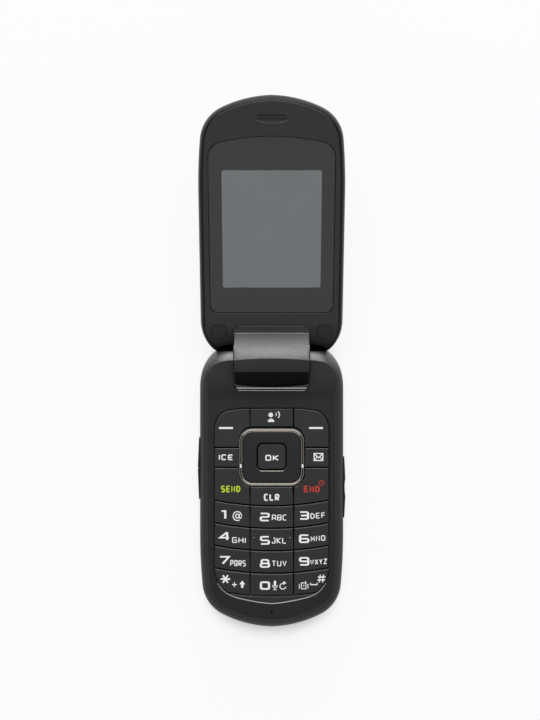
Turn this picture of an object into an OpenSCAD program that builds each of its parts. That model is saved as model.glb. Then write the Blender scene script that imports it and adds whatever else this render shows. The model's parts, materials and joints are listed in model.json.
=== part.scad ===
// Clamshell mobile phone lying open on its flat back, lid leaning on its open stop.
// X runs across the phone, +Y towards the lid, +Z up. The origin is the centre of the
// flat back of the base. Lid pieces are drawn in the lid's own frame, whose origin is the
// hinge axis and whose inner face looks up, and lid_place() tips them to the open stop.

/* [Base] */
// Width of the base
body_w = 48.8; // [48:0.1:53]
// Length from the hinge axis to the lower tip
body_len = 90.6; // [90:0.1:96]
// Thickness of the base from the flat back to the keypad face
base_t = 9.1; // [9:0.1:10.5]
// Height of the joint line between the two base housings
seam_z = 5; // [4.8:0.1:5.2]
// Wall thickness of the housings
wall = 1.5; // [1.2:0.1:1.7]
// Thickness of the plate around the keys
face_plate = 1.2; // [0.9:0.1:1.4]
// Width of the rounded rim around the keypad face
rim_w = 2.8; // [2:0.1:3.4]
// Radius of the rounded edge of the flat back
back_edge = 2.6; // [1.6:0.1:3]
// Radius of the curve of the lower tip
tip_r = 39; // [36:1:46]
// Radius of the lower corners
corner_r = 12.5; // [11:0.5:14]

/* [Hinge] */
// Fully open angle between the keypad face and the display face
open_angle = 156; // [150:1:162]
// Largest radius of the hinge barrel
barrel_r = 9.1; // [8.6:0.1:9.2]
// Radius of the hinge barrel at its ends
barrel_end_r = 8.1; // [7.6:0.1:8.5]
// Length of the hinge barrel
barrel_len = 25.2; // [24:0.1:26.5]
// Gap between the barrel and each shoulder
barrel_gap = 0.4; // [0.3:0.05:0.6]
// Radius of the shoulders about the hinge axis
shoulder_r = 5.3; // [4.9:0.1:5.6]
// Rise of the shoulders above the keypad face
shoulder_h = 2.8; // [2.4:0.1:3.2]
// Radius of the hinge shaft
shaft_r = 1.5; // [1.2:0.05:1.7]
// Radius of the spring cartridge in the barrel
cartridge_r = 2.9; // [2.6:0.1:3.3]
// Radius of the hollow hinge sleeve
sleeve_r = 1.7; // [1.5:0.05:1.8]
// Wall of the hollow hinge sleeve
sleeve_wall = 0.4; // [0.3:0.05:0.5]
// Depth that the shaft and the sleeve reach into the shoulders
shaft_reach = 3.6; // [2.6:0.1:4]

/* [Lid] */
// Amount by which each side of the lid stands in from the base's side
lid_step = 0.25; // [0.1:0.05:0.5]
// Thickness of the lid
lid_t = 8.5; // [8.2:0.1:9.5]
// Gap between the two faces of the closed phone
closed_gap = 0.5; // [0.4:0.05:0.7]
// Width of the outer cover's rim around the inner face
lid_rim = 1.55; // [1.3:0.05:1.9]
// Width of the display window
window_w = 32.4; // [30:0.1:34]
// Height of the display window
window_h = 40.5; // [38:0.1:42]
// Distance from the hinge axis to the display window
window_y = 26.35; // [25:0.1:28]
// Thickness of the display lens
lens_t = 0.8; // [0.7:0.05:1]
// Depth of the display lens's face below the inner face of the lid
lens_recess = 0.3; // [0.2:0.05:0.4]
// Width of the strip between the lid's side and the display lens
lens_side = 3.65; // [3.4:0.05:4]
// Width of the lens border below the display window
lens_below = 9; // [8:0.1:9.6]
// Width of the lens border above the display window, at its middle
lens_above = 11.3; // [10:0.1:12]
// Width of the window on the outside of the lid
outer_lens_w = 24; // [20:0.5:26]
// Height of the window on the outside of the lid
outer_lens_h = 32; // [28:0.5:34]

/* [Keypad] */
// Width of the strip between the base's side and the keypad
keypad_side = 4.95; // [4.4:0.05:5.4]
// Distance from the hinge axis to the top of the keypad
keypad_y = 16.05; // [15.5:0.05:17]
// Width of the middle column of keys
key_col = 14.9; // [13.5:0.1:16]
// Height of the soft keys
soft_h = 13.4; // [13:0.1:14]
// Height of the row beside the navigation ring
mid_h = 6.7; // [6.2:0.1:7.2]
// Height of the send and end keys at the middle column
call_h = 12.9; // [12.5:0.1:13.4]
// Height of the base's chin below the keypad
chin_h = 8.4; // [8:0.1:9]
// Radius of the curve of the digit rows
row_r = 100; // [80:5:160]
// Gap between neighbouring keys
key_gap = 0.3; // [0.24:0.02:0.4]
// Height of the keys above the keypad face
key_proud = 0.1; // [0.05:0.05:0.2]
// Travel of the keys
key_travel = 0.3; // [0.2:0.05:0.35]
// Height of the sunken ledge below the last row of keys
ledge_h = 2.7; // [2:0.1:3]
// Width of the navigation ring
ring_w = 21.9; // [21:0.1:22.6]
// Height of the navigation ring
ring_h = 19.5; // [18.6:0.1:20]
// Width of the navigation ring's band at the sides
ring_band = 1; // [0.8:0.05:1.2]
// Width of the navigation ring's band at top and bottom
ring_band_y = 1.35; // [1:0.05:1.6]
// Width of the middle key
ok_w = 10.1; // [9:0.1:10.8]
// Height of the middle key
ok_h = 9.5; // [8.6:0.1:10]

/* [Side parts] */
// Amount by which the side keys stand out of the base
side_proud = 0.75; // [0.5:0.05:0.9]
// Height of the side keys
side_key_h = 3.4; // [3:0.1:3.6]
// Length of the volume rocker
rocker_len = 21.7; // [20:0.1:23]
// Distance from the hinge axis to the middle of the volume rocker
rocker_y = 36.6; // [35.5:0.1:38]
// Length of the right side key
side_key_len = 21.5; // [20:0.1:23]
// Distance from the hinge axis to the middle of the right side key
side_key_y = 43.1; // [42:0.1:44]
// Length of the charging socket's cover
port_len = 7.8; // [7.4:0.1:8.6]
// Distance from the hinge axis to the middle of the charging socket
port_y = 17.5; // [17:0.1:18.5]
// Length of the headset socket's cover
jack_len = 8.2; // [7.6:0.1:8.8]
// Distance from the hinge axis to the middle of the headset socket
jack_y = 18.8; // [18:0.1:19.5]
// Radius of the headset socket's bore
jack_bore_r = 1.8; // [1.3:0.05:1.85]

/* [Battery] */
// Width of the base on each side of the battery
battery_side = 7.4; // [7:0.1:8.4]
// Length of the battery
battery_len = 45; // [42:0.5:46]
// Thickness of the battery cover
cover_t = 1; // [0.8:0.05:1.2]
// Lap of the battery cover over the base above the battery
cover_lap = 4; // [3.6:0.1:5]
// Length of the tip of the base below the battery bay, which holds the aerial
tip_bay_h = 7.6; // [7:0.1:8.4]

/* [Hidden] */
$fn = 48;

fit = 0.05;      // radial running fit of the hinge, and play between seated pieces
slack = 0.15;    // play around covers and boards
eps = 0.01;
far = 120;       // longer than anything it cuts

// Places of the hinge axis, and the tilt of the open lid above the base
axis_y = (body_len - shoulder_r)/2;
axis_z = base_t + closed_gap/2;
lid_tilt = 180 - open_angle;

// Plan outline shared by base and lid: tip arc, corner arc, side arc, straight, hinge corner
side_arc_r = 190;
side_arc_start = 32;
tip_point = 1;
base_hinge_corner = 14.2;
lid_hinge_corner = 13.6;
lobe_end = 0.4;

lid_w = body_w - 2*lid_step;
lens_w = lid_w - 2*lens_side;
lens_y = window_y - lens_below;
lens_h = lens_below + window_h + lens_above;

// Bays inside the base, as distances from the hinge axis towards the tip
bay_wall = 4;
battery_w = body_w - 2*battery_side;
tip_bay_y = body_len - tip_bay_h;
battery_top = tip_bay_y - bay_wall - battery_len;
cover_y = battery_top - cover_lap;
upper_bay_y = cover_y - 2;

// Heights inside the base, counted from the flat back
battery_floor = cover_t + slack;
frame_z = seam_z + 0.5;
board_z = frame_z + fit;
board_t = 0.8;
dome_sheet_z = board_z + board_t;
dome_sheet_t = 0.15;
dome_h = 0.25;
plate_z = base_t - face_plate;
key_under = plate_z + fit;
plunger_z = dome_sheet_z + dome_sheet_t + dome_h + key_travel + fit;

// Levels inside the lid, counted from the hinge axis
face_n = -closed_gap/2;
back_n = face_n - lid_t;
lens_n = face_n - lens_recess - lens_t - fit;
lid_plate_n = lens_n - 0.35;
lid_inner_foot_n = lid_plate_n - 1.6;
display_t = 2;
lid_board_n = lid_plate_n - display_t - 2*fit;
lid_board_t = 0.8;
outer_wall = 1.1;
inner_back_n = back_n + outer_wall;

// Keypad places, as distances from the hinge axis towards the tip
ring_mid = keypad_y + soft_h + mid_h/2 - 0.2;
keypad_half = body_w/2 - keypad_side;
keypad_top_corner = 6.3;
keypad_end_corner = 11;
keypad_end_r = 45;
soft_end = keypad_y + soft_h;
mid_end = soft_end + mid_h;
call_end = mid_end + call_h;
keys_end = body_len - chin_h - ledge_h;
row_h = (keys_end - call_end)/4;
ledge_depth = 0.6;
ring_corner = 4.1;
ring_proud = 0.25;
ok_corner = 1.9;

// ---------- helpers ----------

function at(c, r, a) = [c[0] + r*cos(a), c[1] + r*sin(a), cos(a), sin(a)];
function arc(c, r, a0, a1, n) = [for (i = [0:n]) at(c, r, a0 + (a1 - a0)*i/n)];
function flat(pts) = [for (p = pts) [p[0], p[1]]];
function heading(a, b) = atan2(b[1] - a[1], b[0] - a[0]);

// Meeting point of two circles, on the right-hand side of the way from a to b
function meet(a, ra, b, rb) =
    let (d = norm(b - a), k = (ra*ra - rb*rb + d*d)/(2*d), h = sqrt(ra*ra - k*k), u = (b - a)/d)
    a + k*u + h*[-u[1], u[0]];

// Right half of a body outline, from the tip at -Y to the hinge corner, with extra points
// at the given places of the straight side. Each point is [x, y, outward x, outward y], so
// an inset outline is one step back along the normals.
function half_outline(half_w, hinge_corner, hinge_corner_y, side_places) =
    let (a = [-tip_point, tip_r - body_len],
         b = [half_w - side_arc_r, side_arc_start - body_len],
         c = meet(a, tip_r - corner_r, b, side_arc_r - corner_r),
         start = -90 + asin(tip_point/tip_r),
         turn = heading(a, c),
         end = heading(b, c),
         hinge = [half_w - hinge_corner, hinge_corner_y])
    concat([[0, a[1] - sqrt(tip_r*tip_r - tip_point*tip_point), 0, -1]],
           [for (i = [1:6]) at(a, tip_r, start + (turn - start)*i/7)],
           arc(c, corner_r, turn, end, 7),
           [for (i = [1:2]) at(b, side_arc_r, end*(1 - i/2))],
           [for (y = side_places) [half_w, y, 1, 0]],
           arc(hinge, hinge_corner, 0, 90, 9));

function inset(half, d) = [for (p = half) [p[0] - d*p[2], p[1] - d*p[3]]];
function level(half, z) = [for (p = half) [p[0], p[1], z]];
function mirrored(half) = concat(half, [for (i = [len(half) - 1:-1:1]) [-half[i][0], half[i][1]]]);

// Solid through half rings [x, y, z] stacked from the bottom up, mirrored in X
module loft(halves) {
    n = len(halves[0]);
    m = 2*n - 1;
    top = (len(halves) - 1)*m;
    points = [for (h = halves) each
        concat(h, [for (i = [n - 1:-1:1]) [-h[i][0], h[i][1], h[i][2]]])];
    sides = [for (k = [0:len(halves) - 2], j = [0:m - 1])
        let (a = k*m + j, b = k*m + (j + 1)%m) each [[a, b + m, b], [a, a + m, b + m]]];
    ends = [for (i = [1:n - 2]) each
        [[i, i + 1, m - i - 1, m - i], [top + m - i, top + m - i - 1, top + i + 1, top + i]]];
    tips = [[0, 1, m - 1], [top + m - 1, top + 1, top]];
    polyhedron(points, concat(sides, ends, tips));
}

module along_x(length) {
    rotate([90, 0, 90]) linear_extrude(length, center = true) children();
}

module rod_x(r, x0, x1) {
    translate([x0, 0, 0]) rotate([0, 90, 0]) cylinder(r = r, h = x1 - x0);
}

// Block between two opposite corners
module block(low, high) {
    translate(low) cube(high - low);
}

module rounded(w, h, r) {
    union() {
        square([w - 2*r, h], center = true);
        square([w, h - 2*r], center = true);
        for (x = [-1, 1], y = [-1, 1]) translate([x*(w/2 - r), y*(h/2 - r)]) circle(r);
    }
}

module base_place() {
    translate([0, axis_y, 0]) children();
}

module lid_place() {
    translate([0, axis_y, axis_z]) rotate([lid_tilt, 0, 0]) children();
}

// ---------- base housings ----------

ramp_len = 13.4;
ramp_power = 1.6;
base_corner_y = shoulder_r - base_hinge_corner;
base_half = half_outline(body_w/2, base_hinge_corner, base_corner_y,
    [for (i = [0:2]) base_corner_y - (ramp_len + base_corner_y)*(1 - i/3)]);
lid_half = half_outline(lid_w/2, lid_hinge_corner, -lobe_end - lid_hinge_corner, []);
rim_z = 2.9;

// Height of the keypad face, which climbs to the shoulders near the hinge
function face_at(y) = base_t + shoulder_h*pow(max(0, min(1, 1 + y/ramp_len)), ramp_power);

// One level of the rim: share of its width inwards and share of its height upwards
function rim_level(in_share, up_share) = [for (p = base_half)
    let (width = rim_w + (shoulder_r - rim_w)*pow(max(0, p[3]), 2),
         crease = p[1] - width*p[3],
         low = base_t - rim_z)
    [p[0] - in_share*width*p[2], p[1] - in_share*width*p[3],
     low + (face_at(crease) - low)*up_share]];

module base_front_blank() {
    loft([level(base_half, seam_z), rim_level(0, 0), rim_level(0.1, 0.42),
          rim_level(0.34, 0.75), rim_level(0.66, 0.93), rim_level(1, 1)]);
}

module base_rear_blank() {
    loft([for (s = [[0, 1], [0.18, 0.56], [0.5, 0.24], [0.92, 0.05], [1.3, 0]])
              level(inset(base_half, back_edge*s[1]), back_edge*s[0]),
          level(base_half, seam_z)]);
}

// Inside of the base, down to the front wall of the barrel's notch
module base_cavity(inward, y_top) {
    intersection() {
        polygon(mirrored(inset(base_half, inward)));
        translate([-far/2, -far - y_top]) square([far, far]);
    }
}

notch_half = barrel_len/2 + barrel_gap;
notch_y = barrel_r + barrel_gap;
lip = 0.7;
lip_corner = 1.7;

module barrel_notch() {
    translate([0, 0, -far/2]) linear_extrude(far)
        polygon([[-notch_half, far], [-notch_half, lip_corner - notch_y],
                 [lip_corner - notch_half, -notch_y], [notch_half - lip_corner, -notch_y],
                 [notch_half, lip_corner - notch_y], [notch_half, far]]);
    translate([0, 0, base_t]) along_x(2*(notch_half - lip_corner))
        polygon([[-notch_y - lip, 0.4], [-notch_y - lip, 0], [-notch_y, -1.2], [0, -1.2], [0, 0.4]]);
}

// Room behind the shoulders for the lid's lobes; its lower side is the open stop
stop_angle = -90 + lid_tilt - asin((lobe_end - slack)/shoulder_r);

module lobe_room() {
    translate([0, 0, axis_z]) along_x(far) difference() {
        polygon([[0, 0], far*[cos(stop_angle), sin(stop_angle)], [far, -far], [far, 0]]);
        circle(shoulder_r);
    }
}

module hinge_bores() {
    translate([0, 0, axis_z]) {
        rod_x(shaft_r + fit, 0, notch_half + shaft_reach + slack);
        rod_x(sleeve_r + fit, -notch_half - shaft_reach - slack, 0);
    }
}

// Outline of the keypad opening: arched top, straight sides, rounded lower end
module keypad_outline(shrink, end) {
    half = keypad_half - shrink;
    top = keypad_y + shrink;
    intersection() {
        translate([0, -top - row_r]) circle(row_r, $fn = 180);
        union() {
            translate([0, -top - far/2 - keypad_top_corner])
                square([2*half, far], center = true);
            for (x = [-1, 1])
                translate([x*(half - keypad_top_corner), -top - keypad_top_corner - 0.8])
                    circle(keypad_top_corner);
            translate([0, -top - far/2 - 0.5])
                square([2*(half - keypad_top_corner), far], center = true);
        }
        translate([0, -end + shrink]) union() {
            translate([-half, keypad_end_corner]) square([2*half, far]);
            for (x = [-1, 1]) intersection() {
                translate([x*(half - keypad_end_corner), keypad_end_corner + 1.6])
                    circle(keypad_end_corner + 0.001, $fn = 64);
                translate([-half, 1.2]) square([2*half, far]);
            }
            intersection() {
                for (x = [-1, 1]) translate([x*tip_point, keypad_end_r])
                    circle(keypad_end_r, $fn = 180);
                translate([-half + 4.6, 0]) square([2*half - 9.2, keypad_end_corner + 2]);
            }
        }
    }
}

// Lower edge of the digit row k: an arc that climbs towards the sides
module above_row(k, shift) {
    y = -call_end - k*row_h + shift;
    difference() {
        translate([-far/2, y]) square([far, far]);
        translate([0, y + row_r]) difference() {
            translate([-far/2, -row_r]) square([far, row_r]);
            circle(row_r, $fn = 180);
        }
    }
}

module key_area(shrink) {
    intersection() {
        keypad_outline(shrink, keys_end + ledge_h);
        above_row(4, shrink);
    }
}

window_z = (seam_z + base_t)/2 - 1.85;
flange_over = 0.7;

// Window through both housings for a side key, on the side given by dir
module side_window(dir, y, length) {
    translate([dir*body_w/2, -y, window_z])
        cube([2*(wall + 1), length + 2*slack, side_key_h + 2*slack], center = true);
}

socket_z = 3.55;
cap_h = 2.5;
cap_depth = 1.05;

module cap_recess(dir, y, length) {
    translate([dir*(body_w/2 - cap_depth/2 - slack/2 + 0.5), -y, socket_z])
        cube([cap_depth + slack + 1, length + 2*slack, cap_h + 2*slack], center = true);
}

module base_front_housing() {
    color("#2c2d2f") base_place() difference() {
        base_front_blank();
        translate([0, 0, seam_z - 1]) linear_extrude(plate_z - seam_z + 1)
            base_cavity(wall, notch_y + wall);
        translate([0, 0, base_t - ledge_depth]) linear_extrude(far)
            keypad_outline(0, keys_end + ledge_h);
        translate([0, 0, plate_z - 1]) linear_extrude(far) key_area(0);
        barrel_notch();
        lobe_room();
        hinge_bores();
        translate([0, -mic_y, plate_z - 1]) cylinder(r = mic_hole_r, h = far);
        side_window(-1, rocker_y, rocker_len);
        side_window(1, side_key_y, side_key_len);
    }
}

mic_y = body_len - 5.3;
mic_hole_r = 0.35;
mic_r = 1.5;

module base_rear_housing() {
    color("#26272a") base_place() difference() {
        union() {
            base_rear_blank();
            translate([0, 0, seam_z - eps]) linear_extrude(frame_z - seam_z + eps)
                base_cavity(wall + slack, notch_y + wall + slack);
        }
        // bed of the battery cover
        block([-far/2, -far, -far], [far/2, -cover_y, cover_t + fit]);
        // battery bay, open to the back
        block([-battery_w/2 - slack, -battery_top - battery_len - slack, -1],
              [battery_w/2 + slack, -battery_top + slack, seam_z]);
        // side channels beside the battery
        for (x = [-1, 1]) mirror([x < 0 ? 1 : 0, 0, 0])
            block([battery_w/2 + slack + 1, -battery_top - battery_len + 3, 2*cover_t],
                  [body_w/2 - wall, -upper_bay_y + 1, far]);
        contact_blades(fit);
        // upper bay under the radio
        translate([0, 0, cover_t + 0.2]) linear_extrude(far) intersection() {
            base_cavity(wall, notch_y + wall);
            translate([-far/2, -upper_bay_y]) square([far, far]);
        }
        // room for the headset socket, the motor and the can
        block([body_w/2 - wall - jack_body_len - slack, -jack_y - jack_body_w/2 - slack, cover_t + 0.2],
              [body_w/2 - wall, -jack_y + jack_body_w/2 + slack, far]);
        block([motor_x - slack, -port_y - motor_r - slack, cover_t + 0.2],
              [can_x0 - slack, -port_y + motor_r + slack, far]);
        block([can_x0 - slack, -can_y - can_len - slack, frame_z - can_t - slack],
              [can_x1 + slack, -can_y, far]);
        // tip bay for the aerial
        translate([0, 0, 2*cover_t]) linear_extrude(far) intersection() {
            polygon(mirrored(inset(base_half, wall + 0.6)));
            translate([-far/2, -far - tip_bay_y]) square([far, far]);
        }
        barrel_notch();
        lobe_room();
        side_window(-1, rocker_y, rocker_len);
        side_window(1, side_key_y, side_key_len);
        cap_recess(-1, port_y, port_len);
        cap_recess(1, jack_y, jack_len);
        translate([-body_w/2, -port_y, socket_z])
            cube([2*(wall + 1), usb_w + 2*slack, usb_h + 2*slack], center = true);
        translate([0, -jack_y, socket_z]) rod_x(jack_bore_r + 0.4, body_w/2 - wall - 1, body_w);
        for (p = screw_places) translate([p[0], p[1], 0]) {
            cylinder(r = screw_r + fit, h = seam_z - 0.6);
            cylinder(r = screw_head_r + fit, h = cover_t + fit + screw_head_t + fit);
        }
        for (i = [-1:1]) translate([speaker_x + i*speaker_r/2, -speaker_y, -1])
            cylinder(r = 0.4, h = 4);
    }
}

module battery_cover() {
    color("#232427") base_place() intersection() {
        base_rear_blank();
        block([-far/2, -far, -1], [far/2, -cover_y - slack, cover_t]);
    }
}

// ---------- inside the base ----------

screw_r = 0.7;
screw_head_r = 1.3;
screw_head_t = 0.8;
screw_places = [for (x = [-1, 1]) each
    [[x*(battery_w/2 - 2), -cover_y - cover_lap/2],
     [x*(battery_w/2 - 5), bay_wall/2 - tip_bay_y]]];

module battery() {
    color("#3a3d42") base_place() translate([0, -battery_top - battery_len/2, battery_floor])
        linear_extrude(seam_z - battery_floor - 0.1) rounded(battery_w, battery_len, 1.5);
}

contact_pitch = 2.4;
contact_w = 1;

module contact_blades(play) {
    for (i = [-1:1])
        block([i*contact_pitch - contact_w/2 - play, -battery_top + slack + fit - play, 2.2 - play],
              [i*contact_pitch + contact_w/2 + play, -battery_top + 1.4 + play, frame_z + 2*play]);
}

module battery_contacts() {
    color("#c9a24a") base_place() contact_blades(0);
}

board_half = body_w/2 - wall - 1.9;
jack_body_len = 9;
jack_body_w = 5;

module main_board() {
    color("#1f5a3a") base_place() difference() {
        translate([0, 0, board_z]) linear_extrude(board_t) difference() {
            intersection() {
                base_cavity(wall + 0.5, notch_y + wall + 0.4);
                square([2*board_half, far*2], center = true);
            }
            translate([body_w/2 - wall - jack_body_len - 1, -jack_y - jack_body_w/2 - 0.3])
                square([jack_body_len + 3, jack_body_w + 0.6]);
        }
    }
}

// Pieces under the board, from left to right: charging socket, motor, can, speaker, headset socket
piece_gap = 0.3;
usb_w = 7.4;
usb_h = 2.4;
usb_len = 5;
usb_wall = 0.3;
usb_x = -body_w/2 + cap_depth + 2*slack;
motor_r = 1.7;
motor_len = 6.2;
weight_len = 2.1;
motor_x = usb_x + usb_len + piece_gap;
speaker_r = 3.6;
speaker_x = body_w/2 - wall - jack_body_len - speaker_r - 6*piece_gap;
speaker_y = upper_bay_y - speaker_r - piece_gap;
can_t = 1.5;
can_x0 = motor_x + motor_len + weight_len + piece_gap;
can_x1 = speaker_x - speaker_r - piece_gap;
can_y = notch_y + wall + 1;
can_len = 12.5;
small_can_w = 16;
small_can_t = 0.9;

module shield_cans() {
    color("#b9bcc0") base_place() {
        block([can_x0, -can_y - can_len, frame_z - can_t], [can_x1, -can_y, frame_z]);
        translate([0, 0, board_z + board_t])
            block([-small_can_w/2, -mic_y + mic_r + 0.3, 0], [small_can_w/2, -keys_end, small_can_t]);
    }
}

// Middle of every dome, as [x, y]
function side_key_x() = (key_col/2 + keypad_half)/2;
dome_places = concat(
    [for (x = [-1, 1]) each [[x*(side_key_x() + 1.2), -(keypad_y + soft_end)/2],
                             [x*(ring_w/4 + keypad_half/2 + 0.2), -(soft_end + mid_end)/2],
                             [x*side_key_x(), -(mid_end + call_end)/2 - 2]]],
    [[0, -(keypad_y + ring_mid - ring_h/2)/2], [0, -(ring_mid + ring_h/2 + call_end)/2],
     [0, -ring_mid]],
    [for (r = [0:3], x = [-1, 0, 1]) [x*side_key_x(), -call_end - (r + 0.5)*row_h + abs(x)]]);
nav_arm = ring_h/2 - 2.4;
nav_places = [[nav_arm, 0], [-nav_arm, 0], [0, nav_arm], [0, -nav_arm]];
dome_r = 1.6;
plunger_r = 0.9;

module keypad_domes() {
    color("#8d9096") base_place() translate([0, 0, dome_sheet_z]) {
        linear_extrude(dome_sheet_t) intersection() {
            key_area(0.6);
            square([2*board_half - 0.4, far*2], center = true);
        }
        for (p = dome_places) translate([p[0], p[1], dome_sheet_t - eps])
            cylinder(r = dome_r, h = dome_h + eps);
        for (p = nav_places) translate([p[0], p[1] - ring_mid, dome_sheet_t - eps])
            cylinder(r = dome_r, h = dome_h + eps);
    }
}

module microphone() {
    color("#9a9da2") base_place() translate([0, -mic_y, dome_sheet_z])
        cylinder(r = mic_r, h = plate_z - dome_sheet_z - fit);
}

module loudspeaker() {
    color("#55585d") base_place() translate([speaker_x, -speaker_y, cover_t + 0.2 + fit])
        difference() {
            cylinder(r = speaker_r, h = 2.6);
            translate([0, 0, -1]) cylinder(r = 1.2, h = 1.6);
        }
}

module vibration_motor() {
    end = motor_x + motor_len;
    color("#a9abb0") base_place() translate([0, -port_y, cover_t + 0.2 + fit + motor_r]) {
        rod_x(motor_r, motor_x, end);
        rod_x(0.4, end - 0.2, end + weight_len);
        translate([end + 0.6, 0, 0]) rotate([0, 90, 0]) difference() {
            cylinder(r = motor_r - 0.1, h = weight_len - 0.6);
            translate([-3, 0.3, -1]) cube([6, 3, 4]);
        }
    }
}

module charge_socket() {
    end = usb_x + usb_len;
    color("#b4b7bb") base_place() translate([0, -port_y, socket_z]) difference() {
        block([usb_x, -usb_w/2, -usb_h/2], [end, usb_w/2, usb_h/2]);
        block([usb_x - 1, -usb_w/2 + usb_wall, -usb_h/2 + usb_wall],
              [end - 1, usb_w/2 - usb_wall, usb_h/2 - usb_wall]);
    }
    color("#2a2a2c") base_place() translate([0, -port_y, socket_z])
        block([usb_x + 0.8, -usb_w/2 + 1.5, -0.3], [end - 0.9, usb_w/2 - 1.5, 0.3]);
    color("#b4b7bb") base_place() translate([0, -port_y, 0])
        block([usb_x + 1, -usb_w/2, socket_z + usb_h/2 - eps], [end, usb_w/2, board_z - fit]);
}

module headset_jack() {
    x1 = body_w/2 - wall - fit;
    color("#303236") base_place() translate([0, -jack_y, socket_z]) difference() {
        block([x1 - jack_body_len, -jack_body_w/2, -2.3], [x1, jack_body_w/2, 2.6]);
        rod_x(jack_bore_r, x1 - jack_body_len + 1, x1 + 1);
    }
}

module antenna() {
    color("#c7a35a") base_place() translate([0, 0, frame_z - 1]) linear_extrude(1) difference() {
        intersection() {
            polygon(mirrored(inset(base_half, wall + 1.2)));
            translate([-far/2, -far - tip_bay_y - 0.6]) square([far, far]);
        }
        polygon(mirrored(inset(base_half, wall + 2.6)));
    }
}

switch_w = 1.6;
switch_len = 3.8;
switch_apart = 14;
switch_x = body_w/2 - wall - 1.5*switch_w;
switch_places = [[-1, rocker_y - switch_apart/2], [-1, rocker_y + switch_apart/2], [1, side_key_y]];

module side_switches() {
    color("#cfd1d4") base_place() for (s = switch_places)
        translate([s[0]*switch_x, -s[1], 0])
            block([-switch_w/2, -switch_len/2, seam_z - 1.2], [switch_w/2, switch_len/2, board_z - fit]);
}

module housing_screws() {
    color("#8a8d92") base_place() for (p = screw_places)
        translate([p[0], p[1], cover_t + fit]) difference() {
            union() {
                cylinder(r = screw_r, h = seam_z - cover_t - 0.8);
                cylinder(r = screw_head_r, h = screw_head_t);
            }
            for (a = [0, 90]) rotate(a)
                translate([0, 0, 0.2]) cube([1.4, 0.3, 0.5], center = true);
        }
}

module hinge_shaft() {
    color("#a6a9ad") base_place() translate([0, 0, axis_z])
        rod_x(shaft_r, cartridge_start + 2, notch_half + shaft_reach);
}

// ---------- side keys and covers ----------

flange_in = 0.55;

// Side key: a pad in its window with a wider flange behind the wall
module side_key_body(dir, y, length, flange_gap) {
    inner = body_w/2 - wall - flange_gap;
    translate([0, -y, window_z]) mirror([dir < 0 ? 1 : 0, 0, 0]) difference() {
        union() {
            intersection() {
                translate([inner - eps, 0, 0]) rotate([90, 0, 90])
                    linear_extrude(body_w/2 + side_proud - inner + eps)
                        rounded(length - 2*slack, side_key_h, 0.8);
                translate([body_w/2 + side_proud - side_crown, 0, -far/2])
                    cylinder(r = side_crown, h = far, $fn = 360);
            }
            block([inner - flange_in, -length/2 - flange_over, -side_key_h/2 + 0.2],
                  [inner, length/2 + flange_over, side_key_h/2 - 0.2]);
        }
        children();
    }
}

side_crown = 130;
groove_w = 2;
groove_depth = 0.45;
dish_r = 15;
dish_depth = 0.3;

module volume_rocker() {
    color("#1d1e20") base_place()
        side_key_body(-1, rocker_y, rocker_len, 0.5)
            translate([body_w/2 + side_proud + groove_w/2 - groove_depth, 0, 0])
                rotate(45) cube([groove_w/sqrt(2), groove_w/sqrt(2), far], center = true);
}

module side_key() {
    color("#1d1e20") base_place()
        side_key_body(1, side_key_y, side_key_len, 0.15)
            translate([body_w/2 + side_proud + dish_r - dish_depth, 0, -far/2])
                cylinder(r = dish_r, h = far, $fn = 120);
}

// Socket cover: a pad flush with the side, with a nail dip at its lower end
module cap_body(dir, y, length) {
    translate([0, -y, socket_z]) mirror([dir < 0 ? 1 : 0, 0, 0]) difference() {
        block([body_w/2 - cap_depth, -length/2, -cap_h/2], [body_w/2, length/2, cap_h/2]);
        translate([body_w/2 + 2.1, -length/2 + 1.6, -far/2]) cylinder(r = 2.4, h = far);
    }
}

module port_cover() {
    color("#232427") base_place() cap_body(-1, port_y, port_len);
}

module jack_cover() {
    color("#232427") base_place() cap_body(1, jack_y, jack_len);
}

// ---------- keys ----------

module key_solid(x, y) {
    translate([0, 0, key_under]) linear_extrude(base_t + key_proud - key_under) children();
    translate([x, y, plunger_z]) cylinder(r = plunger_r, h = key_under - plunger_z + eps);
}

module ring_outline(w, h, r) {
    translate([0, -ring_mid]) rounded(w, h, r);
}

// Key in the rectangle x0..x1, y0..y1 of the keypad, clear of the ring
module upper_key(x0, x1, y0, y1, dome) {
    color("#2f3032") base_place() key_solid(dome_places[dome][0], dome_places[dome][1])
        difference() {
            intersection() {
                keypad_outline(key_gap/2, keys_end + ledge_h);
                translate([x0 + key_gap/2, y0 + key_gap/2]) square([x1 - x0 - key_gap, y1 - y0 - key_gap]);
                above_row(0, key_gap/2);
            }
            ring_outline(ring_w + 2*key_gap, ring_h + 2*key_gap, ring_corner + key_gap);
        }
}

// Key of a digit row, in column -1, 0 or 1
module digit_key(row, column) {
    dome = 9 + 3*row + column + 1;
    x0 = column == 0 ? -key_col/2 : column < 0 ? -far/2 : key_col/2;
    x1 = column == 0 ? key_col/2 : column < 0 ? -key_col/2 : far/2;
    color("#2f3032") base_place() key_solid(dome_places[dome][0], dome_places[dome][1])
        difference() {
            intersection() {
                keypad_outline(key_gap/2, keys_end + ledge_h);
                translate([x0 + key_gap/2, -far]) square([x1 - x0 - key_gap, far]);
                above_row(row + 1, key_gap/2);
            }
            above_row(row, -key_gap/2);
        }
}

nav_plate_t = 0.5;
nav_plate_z = key_under - 0.1;
nav_pad_z = nav_plate_z + nav_plate_t + 0.35;

module nav_carrier() {
    color("#3b3d40") base_place() {
        translate([0, 0, nav_plate_z]) linear_extrude(nav_plate_t) difference() {
            ring_outline(ring_w, ring_h, ring_corner);
            ring_outline(ok_w + 2*key_gap, ok_h + 2*key_gap, ok_corner + key_gap);
        }
        for (p = nav_places) translate([p[0], p[1] - ring_mid, plunger_z])
            cylinder(r = plunger_r, h = nav_plate_z - plunger_z + eps);
    }
}

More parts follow.
